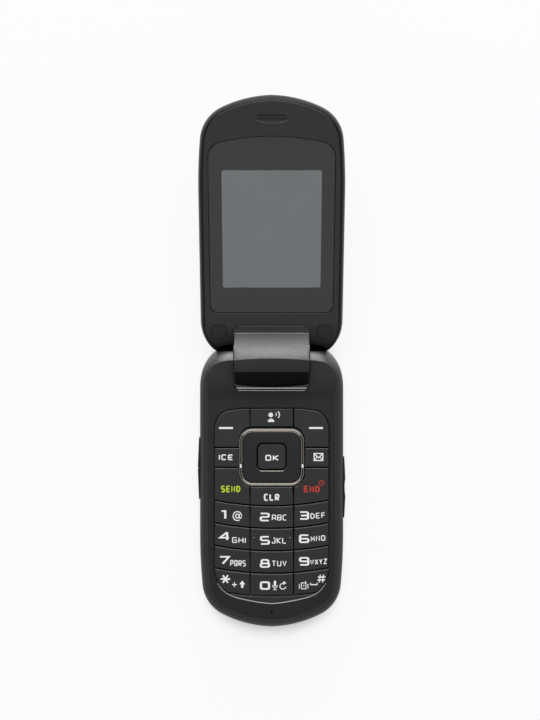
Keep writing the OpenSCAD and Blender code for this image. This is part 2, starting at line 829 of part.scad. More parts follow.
module nav_ring() {
    color("#c9cbce") base_place() translate([0, 0, nav_plate_z + nav_plate_t])
        linear_extrude(base_t + ring_proud - nav_plate_z - nav_plate_t) difference() {
            ring_outline(ring_w, ring_h, ring_corner);
            ring_outline(ring_w - 2*ring_band, ring_h - 2*ring_band_y, ring_corner - ring_band/2);
        }
}

module nav_pad() {
    color("#26282a") base_place() translate([0, 0, nav_pad_z])
        linear_extrude(base_t + key_proud - nav_pad_z) difference() {
            ring_outline(ring_w - 2*ring_band - 0.3, ring_h - 2*ring_band_y - 0.3,
                         ring_corner - ring_band/2 - 0.15);
            ring_outline(ok_w + 2*key_gap, ok_h + 2*key_gap, ok_corner + key_gap);
        }
}

module ok_key() {
    color("#2f3032") base_place() {
        translate([0, 0, nav_pad_z]) linear_extrude(base_t + 2*key_proud - nav_pad_z)
            ring_outline(ok_w, ok_h, ok_corner);
        translate([0, -ring_mid, plunger_z]) cylinder(r = plunger_r, h = nav_pad_z - plunger_z + eps);
    }
}

// ---------- lid ----------

lid_notch_y = 12.2;
relief_len = 13;
relief_power = 2;
relief_depth = 3.6;
lobe_r = shoulder_r + 2*slack;

// Hollowed underside of the lobes, which clears the shoulders when the lid shuts
module above_relief() {
    along_x(far) polygon(concat([for (i = [0:7])
        [relief_len*(1 - i/7), face_n - relief_depth*pow(i/7, relief_power)]],
        [[-far, face_n - relief_depth], [-far, far], [far, far], [far, face_n]]));
}

module lobe_relief() {
    above_relief();
    rod_x(lobe_r, -far/2, far/2);
}

module lid_notch(y) {
    w = barrel_len + 2*barrel_gap;
    translate([0, 0, -far/2]) linear_extrude(far) union() {
        translate([0, y - far/2 - 1.5]) square([w, far], center = true);
        translate([0, y - far/2]) square([w - 3, far], center = true);
        for (x = [-1, 1]) translate([x*(w/2 - 1.5), y - 1.5]) circle(1.5);
    }
}

// Outline of the display lens: arched top with rounded corners, square lower end
module lens_outline(grow) {
    w = lens_w + 2*grow;
    y0 = lens_y - grow;
    y1 = lens_y + lens_h + grow;
    intersection() {
        translate([0, y1 - lens_arch_r]) circle(lens_arch_r, $fn = 180);
        translate([0, (y0 + y1)/2]) union() {
            square([w - 2*lens_corner, y1 - y0 + 4], center = true);
            translate([0, -2.2]) square([w, y1 - y0 - 2*lens_corner - 1], center = true);
            for (x = [-1, 1]) {
                translate([x*(w/2 - lens_corner), (y1 - y0)/2 - lens_corner - 1.6]) circle(lens_corner);
                translate([x*(w/2 - lens_foot), (y0 - y1)/2 + lens_foot]) circle(lens_foot);
                translate([x*(w/2 - lens_foot - 2.5), (y0 - y1)/2 + 3]) square([5, 6], center = true);
            }
        }
        translate([-far/2, y0]) square([far, far]);
    }
}

lens_arch_r = 72;
lens_corner = 5.6;
lens_foot = 2.7;

module lid_inner_blank() {
    mirror([0, 1, 0]) loft([
        level(inset(lid_half, lid_rim), lid_inner_foot_n),
        level(inset(lid_half, lid_rim), face_n - 0.5),
        level(inset(lid_half, lid_rim + 0.12), face_n - 0.2),
        level(inset(lid_half, lid_rim + 0.4), face_n)]);
}

module lid_outer_blank() {
    mirror([0, 1, 0]) loft([for (s = [[0, 12], [0.012, 8], [0.055, 4.2], [0.125, 2.2],
                                      [0.23, 1], [0.37, 0.3], [0.54, 0], [0.7, 0.08],
                                      [0.82, 0.35], [0.9, 0.75]])
        level(inset(lid_half, s[1]), back_n + lid_t*s[0])]);
}

ear_y = body_len - 6.3;
ear_pitch = 0.85;
ear_w = 11;
ear_h = 4.6;

module lid_inner_housing() {
    color("#333435") lid_place() difference() {
        lid_inner_blank();
        lid_notch(lid_notch_y);
        lobe_relief();
        translate([0, 0, lens_n]) linear_extrude(far) lens_outline(slack);
        translate([0, window_y + window_h/2, -far/2]) linear_extrude(far)
            square([window_w + 1.6, window_h + 1.6], center = true);
        // hollow behind the plate
        translate([0, 0, lid_plate_n - far]) linear_extrude(far) intersection() {
            mirror([0, 1]) polygon(mirrored(inset(lid_half, lid_rim + 1.2)));
            translate([-far/2, lid_notch_y + 3]) square([far, far]);
        }
        for (i = [-5:5]) translate([i*ear_pitch, ear_y - 0.5, -far/2]) cylinder(r = 0.24, h = far);
        for (i = [-4.5:4.5]) translate([i*ear_pitch, ear_y + 0.5, -far/2]) cylinder(r = 0.24, h = far);
        for (x = [-1, 1]) translate([x*bumper_x, bumper_y, 0]) {
            translate([0, 0, bumper_floor]) linear_extrude(far)
                rounded(bumper_w + 2*fit, bumper_w + 2*fit, bumper_corner);
            translate([0, 0, -far/2]) cylinder(r = screw_r + fit, h = far);
        }
    }
}

module lid_outer_cover() {
    color("#17181a") lid_place() difference() {
        lid_outer_blank();
        lid_notch(lid_notch_y - 1);
        lobe_relief();
        translate([0, 0, inner_back_n]) linear_extrude(far) intersection() {
            mirror([0, 1]) polygon(mirrored(inset(lid_half, lid_rim - slack)));
            translate([-far/2, lid_notch_y + 2.5]) square([far, far]);
        }
        // bed of the inner housing at the hinge end
        translate([0, 0, lid_inner_foot_n - fit]) linear_extrude(far)
            mirror([0, 1]) polygon(mirrored(inset(lid_half, lid_rim - slack)));
        // room for the barrel's neck
        block([-neck_w/2 - slack, 0, neck_low - fit], [neck_w/2 + slack, lid_notch_y + 4, neck_high + fit]);
        translate([0, outer_lens_y, 0]) {
            translate([0, 0, back_n - 1]) linear_extrude(outer_lens_t + 1 + fit)
                rounded(outer_lens_w + 2*slack, outer_lens_h + 2*slack, 5);
            translate([0, -5, back_n - 1]) linear_extrude(far/10) rounded(sub_w - 2, sub_h - 2, 1);
            translate([0, camera_dy, back_n - 1]) cylinder(r = camera_r - 0.8, h = far/10);
        }
        for (x = [-1, 1]) translate([x*bumper_x, bumper_y, inner_back_n - 0.2])
            cylinder(r = screw_r + fit, h = far);
    }
}

bumper_x = lid_w/2 - 6.4;
bumper_y = 10.5;
bumper_w = 4.8;
bumper_corner = 1.5;
bumper_floor = face_n - 1.35;
bumper_proud = 0.12;

module lid_bumpers() {
    color("#2a2b2c") lid_place() for (x = [-1, 1]) translate([x*bumper_x, bumper_y, bumper_floor]) {
        difference() {
            linear_extrude(2) rounded(bumper_w, bumper_w, bumper_corner - fit);
            translate([0, -bumper_y, bumper_proud - bumper_floor]) above_relief();
        }
    }
}

module lid_screws() {
    color("#8a8d92") lid_place() for (x = [-1, 1])
        translate([x*bumper_x, bumper_y, inner_back_n])
            cylinder(r = screw_r, h = bumper_floor - inner_back_n - fit);
}

// ---------- hinge ----------

neck_w = barrel_len - 0.8;
neck_low = -6.6;
neck_high = lid_inner_foot_n - slack;
cartridge_start = 0.5;
barrel_wall = 0.9;
barrel_cap = 1.6;

// Half profile of the crowned barrel, radius against place along the axis
function crown(x) = let (h = barrel_len/2, drop = barrel_r - barrel_end_r,
                         r = (h*h + drop*drop)/(2*drop)) barrel_r - r + sqrt(r*r - x*x);

module barrel_solid(shrink, half) {
    rotate([0, 90, 0]) rotate_extrude($fn = 72)
        polygon(concat([[0, -half]], [for (i = [-6:6]) [crown(half*i/6) - shrink, half*i/6]],
                       [[0, half]]));
}

module hinge_barrel() {
    color("#6b6d70") lid_place() difference() {
        union() {
            barrel_solid(0, barrel_len/2);
            block([-neck_w/2, 0, neck_low], [neck_w/2, lid_notch_y + 3.6, neck_high]);
        }
        intersection() {
            barrel_solid(barrel_wall, barrel_len/2 - barrel_cap);
            block([-far, -far, -far], [cartridge_start - barrel_cap, far, far]);
        }
        rod_x(cartridge_r + fit, cartridge_start - fit, barrel_len/2 - 0.8);
        rod_x(shaft_r + 2*fit, 0, barrel_len);
        rod_x(sleeve_r + fit, -barrel_len, -barrel_len/2 + barrel_cap + 1);
        // slot that lets the ribbon into the lid
        block([ribbon_x0 - 0.2, 0, ribbon_n - 0.6], [ribbon_x1 + 0.2, lid_notch_y + 5, ribbon_n + 0.6]);
    }
}

module hinge_cartridge() {
    color("#9a9da1") lid_place() difference() {
        rod_x(cartridge_r, cartridge_start, barrel_len/2 - 0.8 - fit);
        rod_x(shaft_r + fit, cartridge_start + 1.8, barrel_len);
    }
}

module hinge_sleeve() {
    color("#a6a9ad") lid_place() difference() {
        rod_x(sleeve_r, -notch_half - shaft_reach, -barrel_len/2 + barrel_cap + 0.6);
        rod_x(sleeve_r - sleeve_wall, -body_w, 0);
    }
}

ribbon_r = 1.15;
ribbon_x0 = -8.8;
ribbon_x1 = -4.2;
ribbon_n = -5;
ribbon_t = 0.4;

// Ribbon cable: rolled inside the sleeve, then flat through the neck into the lid
module hinge_flex() {
    color("#b5651d") lid_place() difference() {
        union() {
            rod_x(ribbon_r, -notch_half - shaft_reach + ribbon_t, ribbon_x1);
            block([ribbon_x0, -ribbon_t/2, ribbon_n - ribbon_t/2], [ribbon_x1, ribbon_t/2, 0]);
            block([ribbon_x0, -ribbon_t/2, ribbon_n - ribbon_t/2],
                  [ribbon_x1, lid_notch_y + 8, ribbon_n + ribbon_t/2]);
        }
        rod_x(ribbon_r - ribbon_t, -body_w, ribbon_x0 - 0.6);
    }
}

// ---------- inside the lid ----------

module display_lens() {
    color([0.25, 0.26, 0.27]) lid_place() translate([0, 0, lens_n + fit])
        linear_extrude(lens_t) lens_outline(0);
}

module main_display() {
    color("#6d7173") lid_place() translate([0, window_y + window_h/2, lid_plate_n - fit - display_t])
        linear_extrude(display_t) rounded(window_w + 4, window_h + 5.5, 0.6);
}

lid_board_side = 4.5;
lid_board_y0 = lid_notch_y + 7;
lid_board_y1 = ear_y - ear_h/2 - 0.7;

module display_board() {
    color("#1f5a3a") lid_place() translate([0, 0, lid_board_n - lid_board_t]) linear_extrude(lid_board_t)
        translate([0, (lid_board_y0 + lid_board_y1)/2])
            rounded(lid_w - 2*lid_board_side, lid_board_y1 - lid_board_y0, lid_board_side);
}

outer_lens_y = 56;
outer_lens_t = 0.9;
sub_w = 18;
sub_h = 16;
camera_dy = 10.5;
camera_r = 3.3;

module outer_lens() {
    color([0.1, 0.1, 0.11]) lid_place() translate([0, outer_lens_y, back_n + 0.05])
        linear_extrude(outer_lens_t - 0.05) rounded(outer_lens_w, outer_lens_h, 5 - slack);
}

module sub_display() {
    color("#3c4043") lid_place() translate([0, outer_lens_y - 5, inner_back_n + fit])
        linear_extrude(lid_board_n - lid_board_t - inner_back_n - 3*fit) rounded(sub_w, sub_h, 0.6);
}

module camera_module() {
    color("#101113") lid_place() translate([0, outer_lens_y + camera_dy, inner_back_n + fit])
        difference() {
            cylinder(r = camera_r, h = lid_board_n - lid_board_t - inner_back_n - 2*fit);
            translate([0, 0, -1]) cylinder(r = 1.4, h = 1.8);
        }
}

module earpiece() {
    color("#3a3c40") lid_place() translate([0, ear_y, lid_plate_n - 2.2 - fit])
        linear_extrude(2.2) rounded(ear_w, ear_h, 2);
}

// ---------- which piece is drawn ----------

base_front_housing();
base_rear_housing();
battery_cover();
battery();
battery_contacts();
main_board();
shield_cans();
keypad_domes();
microphone();
loudspeaker();
vibration_motor();
charge_socket();
headset_jack();
antenna();
side_switches();
housing_screws();
hinge_shaft();
volume_rocker();
side_key();
port_cover();
jack_cover();
upper_key(-far/2, -key_col/2, -soft_end, 0, 0);  // soft_key_left
upper_key(key_col/2, far/2, -soft_end, 0, 3);  // soft_key_right
upper_key(-key_col/2, key_col/2, -ring_mid, 0, 6);  // speaker_key
upper_key(-far/2, 0, -mid_end, -soft_end, 1);  // ice_key
upper_key(0, far/2, -mid_end, -soft_end, 4);  // message_key
upper_key(-far/2, -key_col/2, -far, -mid_end, 2);  // send_key
upper_key(key_col/2, far/2, -far, -mid_end, 5);  // end_key
upper_key(-key_col/2, key_col/2, -far, -ring_mid, 7);  // clear_key
digit_key(0, -1);  // key_1
digit_key(0, 0);  // key_2
digit_key(0, 1);  // key_3
digit_key(1, -1);  // key_4
digit_key(1, 0);  // key_5
digit_key(1, 1);  // key_6
digit_key(2, -1);  // key_7
digit_key(2, 0);  // key_8
digit_key(2, 1);  // key_9
digit_key(3, -1);  // key_star
digit_key(3, 0);  // key_0
digit_key(3, 1);  // key_hash
nav_carrier();
nav_ring();
nav_pad();
ok_key();
lid_inner_housing();
lid_outer_cover();
hinge_barrel();
hinge_cartridge();
hinge_sleeve();
hinge_flex();
display_lens();
main_display();
display_board();
outer_lens();
sub_display();
camera_module();
earpiece();
lid_bumpers();
lid_screws();
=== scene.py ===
"""Flip phone lying open on its back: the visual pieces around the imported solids.
"""
import json
from math import asin, atan2, copysign, cos, degrees, dist, pi, radians, sin, sqrt

import bmesh
import bpy
from mathutils import Matrix, Vector, geometry

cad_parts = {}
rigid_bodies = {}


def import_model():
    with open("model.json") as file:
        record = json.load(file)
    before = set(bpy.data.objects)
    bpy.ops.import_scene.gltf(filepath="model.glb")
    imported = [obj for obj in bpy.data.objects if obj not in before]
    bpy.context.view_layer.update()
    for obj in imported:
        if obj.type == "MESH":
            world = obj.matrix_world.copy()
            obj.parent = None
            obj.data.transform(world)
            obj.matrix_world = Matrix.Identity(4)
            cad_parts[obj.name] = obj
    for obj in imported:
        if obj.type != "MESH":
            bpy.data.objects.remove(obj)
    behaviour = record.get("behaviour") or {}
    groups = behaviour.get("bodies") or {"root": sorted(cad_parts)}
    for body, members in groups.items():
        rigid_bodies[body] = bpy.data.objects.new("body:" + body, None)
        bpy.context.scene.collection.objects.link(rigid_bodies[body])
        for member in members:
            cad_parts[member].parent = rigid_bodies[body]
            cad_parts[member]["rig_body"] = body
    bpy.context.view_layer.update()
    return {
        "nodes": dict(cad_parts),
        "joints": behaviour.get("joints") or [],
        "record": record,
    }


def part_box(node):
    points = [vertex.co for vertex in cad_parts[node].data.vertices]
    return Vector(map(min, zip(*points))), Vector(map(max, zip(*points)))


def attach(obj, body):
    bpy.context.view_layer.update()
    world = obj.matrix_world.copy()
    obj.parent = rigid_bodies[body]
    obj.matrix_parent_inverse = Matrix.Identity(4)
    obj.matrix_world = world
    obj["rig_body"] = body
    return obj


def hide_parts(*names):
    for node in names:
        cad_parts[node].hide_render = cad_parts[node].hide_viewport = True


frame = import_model()

MM = 0.001
hinge = next(j for j in frame["joints"] if j["name"] == "lid_hinge")
AXIS = Vector(hinge["pos_m"]) / MM
OPEN_TILT = radians(180 - hinge["range_deg"][1])
BASE = Matrix.Translation((0, AXIS.y, 0))
LID = Matrix.Translation(AXIS) @ Matrix.Rotation(OPEN_TILT, 4, "X")
AT_HINGE = Matrix.Translation(AXIS)


def box_mm(node):
    low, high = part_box(node)
    return low / MM, high / MM


# ---------- sizes, in millimetres ----------

front_low, front_high = box_mm("base_front_housing")
HALF_W = front_high.x
SEAM = front_low.z
BODY_LEN = 90.6
CLOSED_GAP = 0.5
FACE = AXIS.z - CLOSED_GAP / 2          # keypad face above the table
TIP_R, CORNER_R, SIDE_R = 39, 12.5, 190
SIDE_START, TIP_POINT = 32, 1
BASE_CORNER, LID_CORNER = 14.2, 13.6    # radii of the corners at the hinge
SHOULDER_R, SHOULDER_RISE = 5.3, 2.8
RAMP_LEN, RAMP_POWER = 13.4, 1.6
RIM_W, RIM_DROP = 2.8, 2.9
REAR_EDGE, REAR_EDGE_H = 2.6, 3.4
SEAM_GROOVE = 0.12
LEDGE_DEPTH = 0.6
POCKET_FLOOR = 6.4
LOBE_END, LOBE_PLAY = 0.4, 0.15
PLAY = 0.15                             # between a piece and the opening that it fills
BASE_BULGE, LID_BULGE = 0.9, 0.75       # how much squarer the corners at the hinge are
KEYPAD_MIDDLE = (0, -50)
MIC_Y, MIC_R = -85.3, 0.4
OK_SMALLER = RING_LONGER = 0.42

BARREL_HALF = box_mm("hinge_barrel")[1].x
BARREL_R, BARREL_END_R = 9.1, 8.1
NOTCH_HALF = BARREL_HALF + 0.4
NOTCH_Y = 9.25

LID_HALF_W = box_mm("lid_outer_cover")[1].x
LID_T, LID_RIM, LID_SLIM = 8.5, 1.65, 0.2
INNER_N = -CLOSED_GAP / 2               # display face of the lid, seen from the axis
BACK_N = INNER_N - LID_T
LENS_RECESS = 0.3
INNER_FOOT_N = -3.35
LID_NOTCH_Y = 12.2
RELIEF_LEN, RELIEF_DEPTH = 13, 3.6
FACE_REACH = 0.85                       # how much further the lid's face goes at the tip
BUMPER_X, BUMPER_Y = 17.75, 10.5
LOBE_R = 5.6
EAR_Y = 84.3
WINDOW_W, WINDOW_H, WINDOW_Y = 32.4, 40.5, 26.35
OUTER_W, OUTER_H, OUTER_Y, CAMERA_OFF = 24, 32, 56, 10.5

FAR = 60                                # longer than what it cuts


# ---------- materials ----------

def node_material(name):
    material = bpy.data.materials.new(name)
    material.use_nodes = True
    tree = material.node_tree
    return material, tree, tree.nodes["Principled BSDF"]


def feed(node, **values):
    """Settings of a shader node; in_X is its input X, a plain value or another node's output."""
    for key, value in values.items():
        if not key.startswith("in_"):
            setattr(node, key, value)
            continue
        name = key[3:].replace("_", " ")
        socket = node.inputs[int(name) if name.isdigit() else name]
        if isinstance(value, bpy.types.NodeSocket):
            node.id_data.links.new(value, socket)
        else:
            socket.default_value = value


def add(tree, kind, **values):
    """New shader node, set as feed() says."""
    node = tree.nodes.new(kind)
    feed(node, **values)
    return node


MOTTLE_SIZE, GLOSS_SWING = 11, 0.08


def plastic(name, colour, roughness, grain=0.2, depth=0.012, mottle=0.1, coat=0.0, metallic=0.0,
            flake=0.0, specular=0.5):
    """Moulded or painted surface: fine grain in mm, slow mottling of colour and gloss."""
    material, tree, shader = node_material(name)
    place = add(tree, "ShaderNodeTexCoord").outputs["Object"]
    fine = add(tree, "ShaderNodeTexNoise", in_Scale=1 / (grain * MM), in_Detail=3.0, in_Vector=place)
    slow = add(tree, "ShaderNodeTexNoise", in_Scale=1 / (MOTTLE_SIZE * MM), in_Detail=4.0,
               in_Vector=place)
    bump = add(tree, "ShaderNodeBump", in_Strength=0.6, in_Distance=depth * MM,
               in_Height=fine.outputs["Fac"])
    source = slow.outputs["Fac"]
    if flake:
        cells = add(tree, "ShaderNodeTexVoronoi", in_Scale=1 / (flake * MM), in_Vector=place)
        source = add(tree, "ShaderNodeSeparateColor", in_Color=cells.outputs["Color"]).outputs["Red"]
    tint = add(tree, "ShaderNodeMix", data_type="RGBA", in_Factor=source,
               in_A=[c * (1 - mottle) for c in colour] + [1],
               in_B=[min(1, c * (1 + mottle)) for c in colour] + [1])
    gloss = add(tree, "ShaderNodeMapRange", in_To_Min=roughness * (1 - GLOSS_SWING),
                in_To_Max=roughness * (1 + GLOSS_SWING), in_Value=slow.outputs["Fac"])
    feed(shader, in_Normal=bump.outputs["Normal"], in_Base_Color=tint.outputs["Result"],
         in_Roughness=gloss.outputs["Result"], in_Metallic=metallic, in_Specular_IOR_Level=specular,
         in_Coat_Weight=coat, in_Coat_Roughness=0.08)
    return material


def turn_along(material, start, end, colour, metallic=0.0):
    """Lets a material's colour change along Y, between two places in mm from the hinge axis; in this
    script it paints light and shade.
    """
    tree = material.node_tree
    shader = tree.nodes["Principled BSDF"]
    place = add(tree, "ShaderNodeTexCoord").outputs["Object"]
    split = add(tree, "ShaderNodeSeparateXYZ", in_0=place)
    share = add(tree, "ShaderNodeMapRange", interpolation_type="SMOOTHSTEP",
                in_From_Min=(AXIS.y + start) * MM, in_From_Max=(AXIS.y + end) * MM,
                in_Value=split.outputs["Y"]).outputs["Result"]
    blend = add(tree, "ShaderNodeMix", data_type="RGBA", in_Factor=share,
                in_A=shader.inputs["Base Color"].links[0].from_socket, in_B=(*colour, 1))
    feed(shader, in_Base_Color=blend.outputs["Result"])
    if metallic:
        sheen = add(tree, "ShaderNodeMath", operation="MULTIPLY", in_0=share, in_1=metallic)
        feed(shader, in_Metallic=sheen.outputs[0])
    return material


def grey(level):
    return (level, level, level)


LOOKS = {}


def look(name, colour, roughness, turns=(), **values):
    """Adds a material to LOOKS; each turn is a change of colour, in turn_along()'s words."""
    LOOKS[name] = plastic(name, colour, roughness, **values)
    for turn in turns:
        turn_along(LOOKS[name], *turn)


# Lighter tone of the base's rim and of its face near the shoulders: painted light of slopes that face
# the lamps.
RIM_AND_SHOULDER_PAINTED_LIGHT = (0.0285, 0.0285, 0.029)
# Near-black behind the shoulders, where the lid's lobes turn: painted shade.
PAINTED_SHADE_BEHIND_SHOULDERS = (2.9, 3.3, grey(0.0035))     # dark where the lid's lobes turn
# The first 19 looks are the record's material slots.
# The base's soft black turns to that painted light near the shoulders, and to painted shade behind them.
look("soft_black", (0.0108, 0.011, 0.0115), 0.48, [(-13, -4, RIM_AND_SHOULDER_PAINTED_LIGHT), PAINTED_SHADE_BEHIND_SHOULDERS],
     grain=0.25, depth=0.01, specular=0.34)
look("rear_black", (0.011, 0.0113, 0.012), 0.5, grain=0.3, depth=0.03)
look("gloss_black", grey(0.009), 0.36, grain=0.6, depth=0.002, specular=0.24)
look("side_key_black", grey(0.005), 0.4, depth=0.006, specular=0.3)
look("key_black", (0.0172, 0.0175, 0.018), 0.46, depth=0.008, specular=0.42)
look("nav_black", (0.0095, 0.0108, 0.0122), 0.4, depth=0.004, specular=0.4)
look("nav_carrier_plastic", grey(0.03), 0.5)
look("chrome_trim", (0.25, 0.225, 0.2), 0.13, grain=0.5, depth=0.001, mottle=0.04, metallic=1.0)
look("barrel_grey", (0.172, 0.177, 0.181), 0.42, grain=0.12, depth=0.008, mottle=0.28, metallic=0.35,
     flake=0.16)
look("steel", grey(0.5), 0.3, grain=0.4, metallic=1.0)
look("gold_contact", (0.72, 0.5, 0.2), 0.25, metallic=1.0)
look("board_green", (0.015, 0.09, 0.045), 0.45)
look("battery_wrap", (0.045, 0.05, 0.055), 0.4)
look("socket_plastic", grey(0.02), 0.5)
look("flex_amber", (0.4, 0.17, 0.04), 0.35)
look("lens_clear", (0.032, 0.032, 0.033), 0.34, grain=0.8, depth=0.001, mottle=0.03)
look("outer_lens_dark", grey(0.006), 0.08, grain=0.8, depth=0.001, coat=0.5)
look("display_grey", (0.188, 0.2, 0.206), 0.3, grain=0.8, depth=0.001, mottle=0.05)
look("bumper_rubber", grey(0.012), 0.6, grain=0.3, depth=0.02)
# The rest are the looks of single pieces and of some of their faces.
# Dark strip of the barrel, a lighter copy of its near-black: painted light where it faces up.
look("barrel_dark_painted_light", grey(0.034), 0.5, grain=0.12, depth=0.006, mottle=0.15, specular=0.1)
# Near-black of the barrel's underside, its core and the notch's walls: black plastic, darkened further
# as painted shade.
look("barrel_black_and_shade", grey(0.0035), 0.6, depth=0.006, specular=0.08)
# Flat front of the barrel's cover, darker towards the lid: painted shade.
look("barrel_facet", (0.235, 0.237, 0.239), 0.45, [(4.2, 8.6, (0.135, 0.137, 0.14))], grain=0.12,
     depth=0.004, mottle=0.05)
# Pale bevel along the lower edge of the keypad's recess: painted highlight.
look("recess_painted_highlight", (0.3, 0.29, 0.28), 0.4, depth=0.003)
# Pale top edge of the barrel's cover: painted highlight.
look("barrel_painted_highlight", grey(0.72), 0.4, depth=0.003)
# Paler edges that face the lid, on keys, the keypad's ledge and the lid's notch: painted highlight.
look("key_edge", (0.12, 0.117, 0.112), 0.45, depth=0.004)
look("shaft_steel", (0.1, 0.09, 0.075), 0.4, grain=0.3, metallic=0.8)
# Near-black, nearly matt dome sheet and microphone: painted shade in the gaps between the keys and in
# the mic hole.
look("web_black_and_shade", grey(0.012), 0.7, grain=0.3, specular=0.05)
# Pale slopes of the chrome ring: painted reflection.
look("ring_painted_reflection", (0.34, 0.32, 0.29), 0.3, grain=0.3, depth=0.002)
# Rim of the base: its lighter tone and the metallic sheen that grows towards the hinge are painted
# light, and it turns to painted shade behind the shoulders.
look("rim_painted_sheen", RIM_AND_SHOULDER_PAINTED_LIGHT, 0.4, [(-5, 2.5, (0.17, 0.169, 0.17), 0.9), PAINTED_SHADE_BEHIND_SHOULDERS],
     grain=0.25, depth=0.005, specular=0.36)
look("lip_light", (0.85, 0.83, 0.8), 0.2, metallic=1.0, grain=0.3, depth=0.003)
# The lid's face darkens towards the hinge: painted shade.
look("lid_face", (0.028, 0.0283, 0.0292), 0.48, [(13.5, 3, grey(0.002))], grain=0.25, depth=0.01,
     specular=0.38)
# The neck is paler than the other blacks: painted light against its shade between the lid and the
# barrel.
look("neck_black", grey(0.05), 0.5, depth=0.01)
look("outer_screen", grey(0.02), 0.12, grain=0.8, depth=0.001)
for tone, ink in (("white", grey(0.92)), ("green", (0.56, 0.72, 0.02)), ("red", (0.6, 0.035, 0.015)),
                  ("dim", grey(0.25))):
    look("print_" + tone, ink, 0.5, mottle=0.04)


# ---------- meshes ----------

def new_piece(name, verts, faces):
    mesh = bpy.data.meshes.new(name)
    mesh.from_pydata([tuple(v) for v in verts], [], faces)
    mesh.update()
    piece = bpy.data.objects.new(name, mesh)
    bpy.context.scene.collection.objects.link(piece)
    straighten(piece)
    return piece


def straighten(piece):
    """Faces outwards, whatever order they were written in."""
    mesh = bmesh.new()
    mesh.from_mesh(piece.data)
    bmesh.ops.recalc_face_normals(mesh, faces=mesh.faces)
    mesh.to_mesh(piece.data)
    mesh.free()


def lofted(name, rings, closed=False):
    """Solid through rings with the same number of points."""
    n, rows = len(rings[0]), len(rings)
    verts = [p for ring in rings for p in ring]
    faces = []
    for k in range(rows if closed else rows - 1):
        a0, b0 = k * n, (k + 1) % rows * n
        for i in range(n):
            j = (i + 1) % n
            faces.append((a0 + i, a0 + j, b0 + j, b0 + i))
    if not closed:
        faces.append(tuple(range(n - 1, -1, -1)))
        faces.append(tuple(range((rows - 1) * n, rows * n)))
    return new_piece(name, verts, faces)


def mirrored_loft(name, halves):
    """Solid through half rings that run from the tip to the hinge end, mirrored in X."""
    n = len(halves[0])
    m = 2 * n - 1
    verts, faces = [], []
    for half in halves:
        verts += list(half) + [(-x, y, z) for x, y, z in reversed(half[1:])]
    for k in range(len(halves) - 1):
        for i in range(m):
            j = (i + 1) % m
            faces.append((k * m + i, k * m + j, (k + 1) * m + j, (k + 1) * m + i))
    for start in (0, (len(halves) - 1) * m):
        strips = [(0, 1, m - 1)] + [(i, i + 1, m - i - 1, m - i) for i in range(1, n - 1)]
        faces += [tuple(start + i for i in strip) for strip in strips]
    return new_piece(name, verts, faces)


def prism_x(name, outline, x0=-FAR, x1=FAR):
    """Outline of (y, z) points drawn out along X."""
    return lofted(name, [[(x, y, z) for y, z in outline] for x in (x0, x1)])


def block(low, high):
    """Cutter between two corners."""
    (x0, y0, z0), (x1, y1, z1) = low, high
    return prism_x("cutter", [(y0, z0), (y1, z0), (y1, z1), (y0, z1)], x0, x1)


def ellipse(x, y, r, count, ry=None):
    """Points (x, y) round a circle of radius r, or round an ellipse of half height ry."""
    turn = [2 * pi * i / count for i in range(count)]
    return [(x + r * cos(a), y + (ry or r) * sin(a)) for a in turn]


def disc_at(x, y, r, z, count):
    return [(px, py, z) for px, py in ellipse(x, y, r, count)]


def tube_z(x, y, r, z0, z1, count=40):
    return lofted("cutter", [disc_at(x, y, r, z, count) for z in (z0, z1)])


def tube_x(y, z, r, x0, x1, count=64):
    return prism_x("cutter", ellipse(y, z, r, count), x0, x1)


def tube_y(x, z, r):
    return lofted("cutter", [[(px, y, pz) for px, pz in ellipse(x, z, r, 160)] for y in (-FAR, FAR)])


def combine(piece, others):
    """Cuts the other pieces out of this one, and removes them."""
    for other in others:
        step = piece.modifiers.new("cut", "BOOLEAN")
        step.operation, step.solver, step.object = "DIFFERENCE", "EXACT", other
    bpy.context.view_layer.update()
    result = bpy.data.meshes.new_from_object(piece.evaluated_get(bpy.context.evaluated_depsgraph_get()))
    piece.modifiers.clear()
    piece.data = result
    for other in others:
        bpy.data.objects.remove(other)
    return piece


def finish(piece, body, slot, at=BASE, stands_for=(), look_of=None, sharp=32, accents=()):
    """Places a piece, shades it, and hands it to its body and material slot.

    Its look is the slot's unless look_of names another. Each accent is a test of a face's middle
    and normal, and the look of the faces that pass it.
    """
    mesh = bmesh.new()
    mesh.from_mesh(piece.data)
    bmesh.ops.remove_doubles(mesh, verts=mesh.verts, dist=1e-4)
    bmesh.ops.dissolve_degenerate(mesh, edges=mesh.edges, dist=1e-4)
    loose = [v for v in mesh.verts if not v.link_faces]
    bmesh.ops.delete(mesh, geom=loose, context="VERTS")
    bmesh.ops.recalc_face_normals(mesh, faces=mesh.faces)
    for face in mesh.faces:
        face.smooth = True
        middle = face.calc_center_median()
        face.material_index = next((i + 1 for i, (test, _) in enumerate(accents)
                                    if test(middle, face.normal)), 0)
    for edge in mesh.edges:
        edge.smooth = edge.is_manifold and edge.calc_face_angle(0) < radians(sharp)
    mesh.transform(Matrix.Scale(MM, 4) @ at)
    piece.data.materials.clear()
    for name in [look_of or slot] + [extra for _, extra in accents]:
        piece.data.materials.append(LOOKS[name])
    mesh.to_mesh(piece.data)
    mesh.free()
    weigh = piece.modifiers.new("shading", "WEIGHTED_NORMAL")
    weigh.keep_sharp = True
    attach(piece, body)
    if stands_for:
        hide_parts(*stands_for)
    return piece


# ---------- outlines ----------

def arc(centre, r, a0, a1, count):
    """Points [x, y, outward x, outward y] along an arc, with angles in degrees."""
    out = []
    for i in range(count + 1):
        a = radians(a0 + (a1 - a0) * i / count)
        out.append((centre[0] + r * cos(a), centre[1] + r * sin(a), cos(a), sin(a)))
    return out


def heading(a, b):
    return degrees(atan2(b[1] - a[1], b[0] - a[0]))


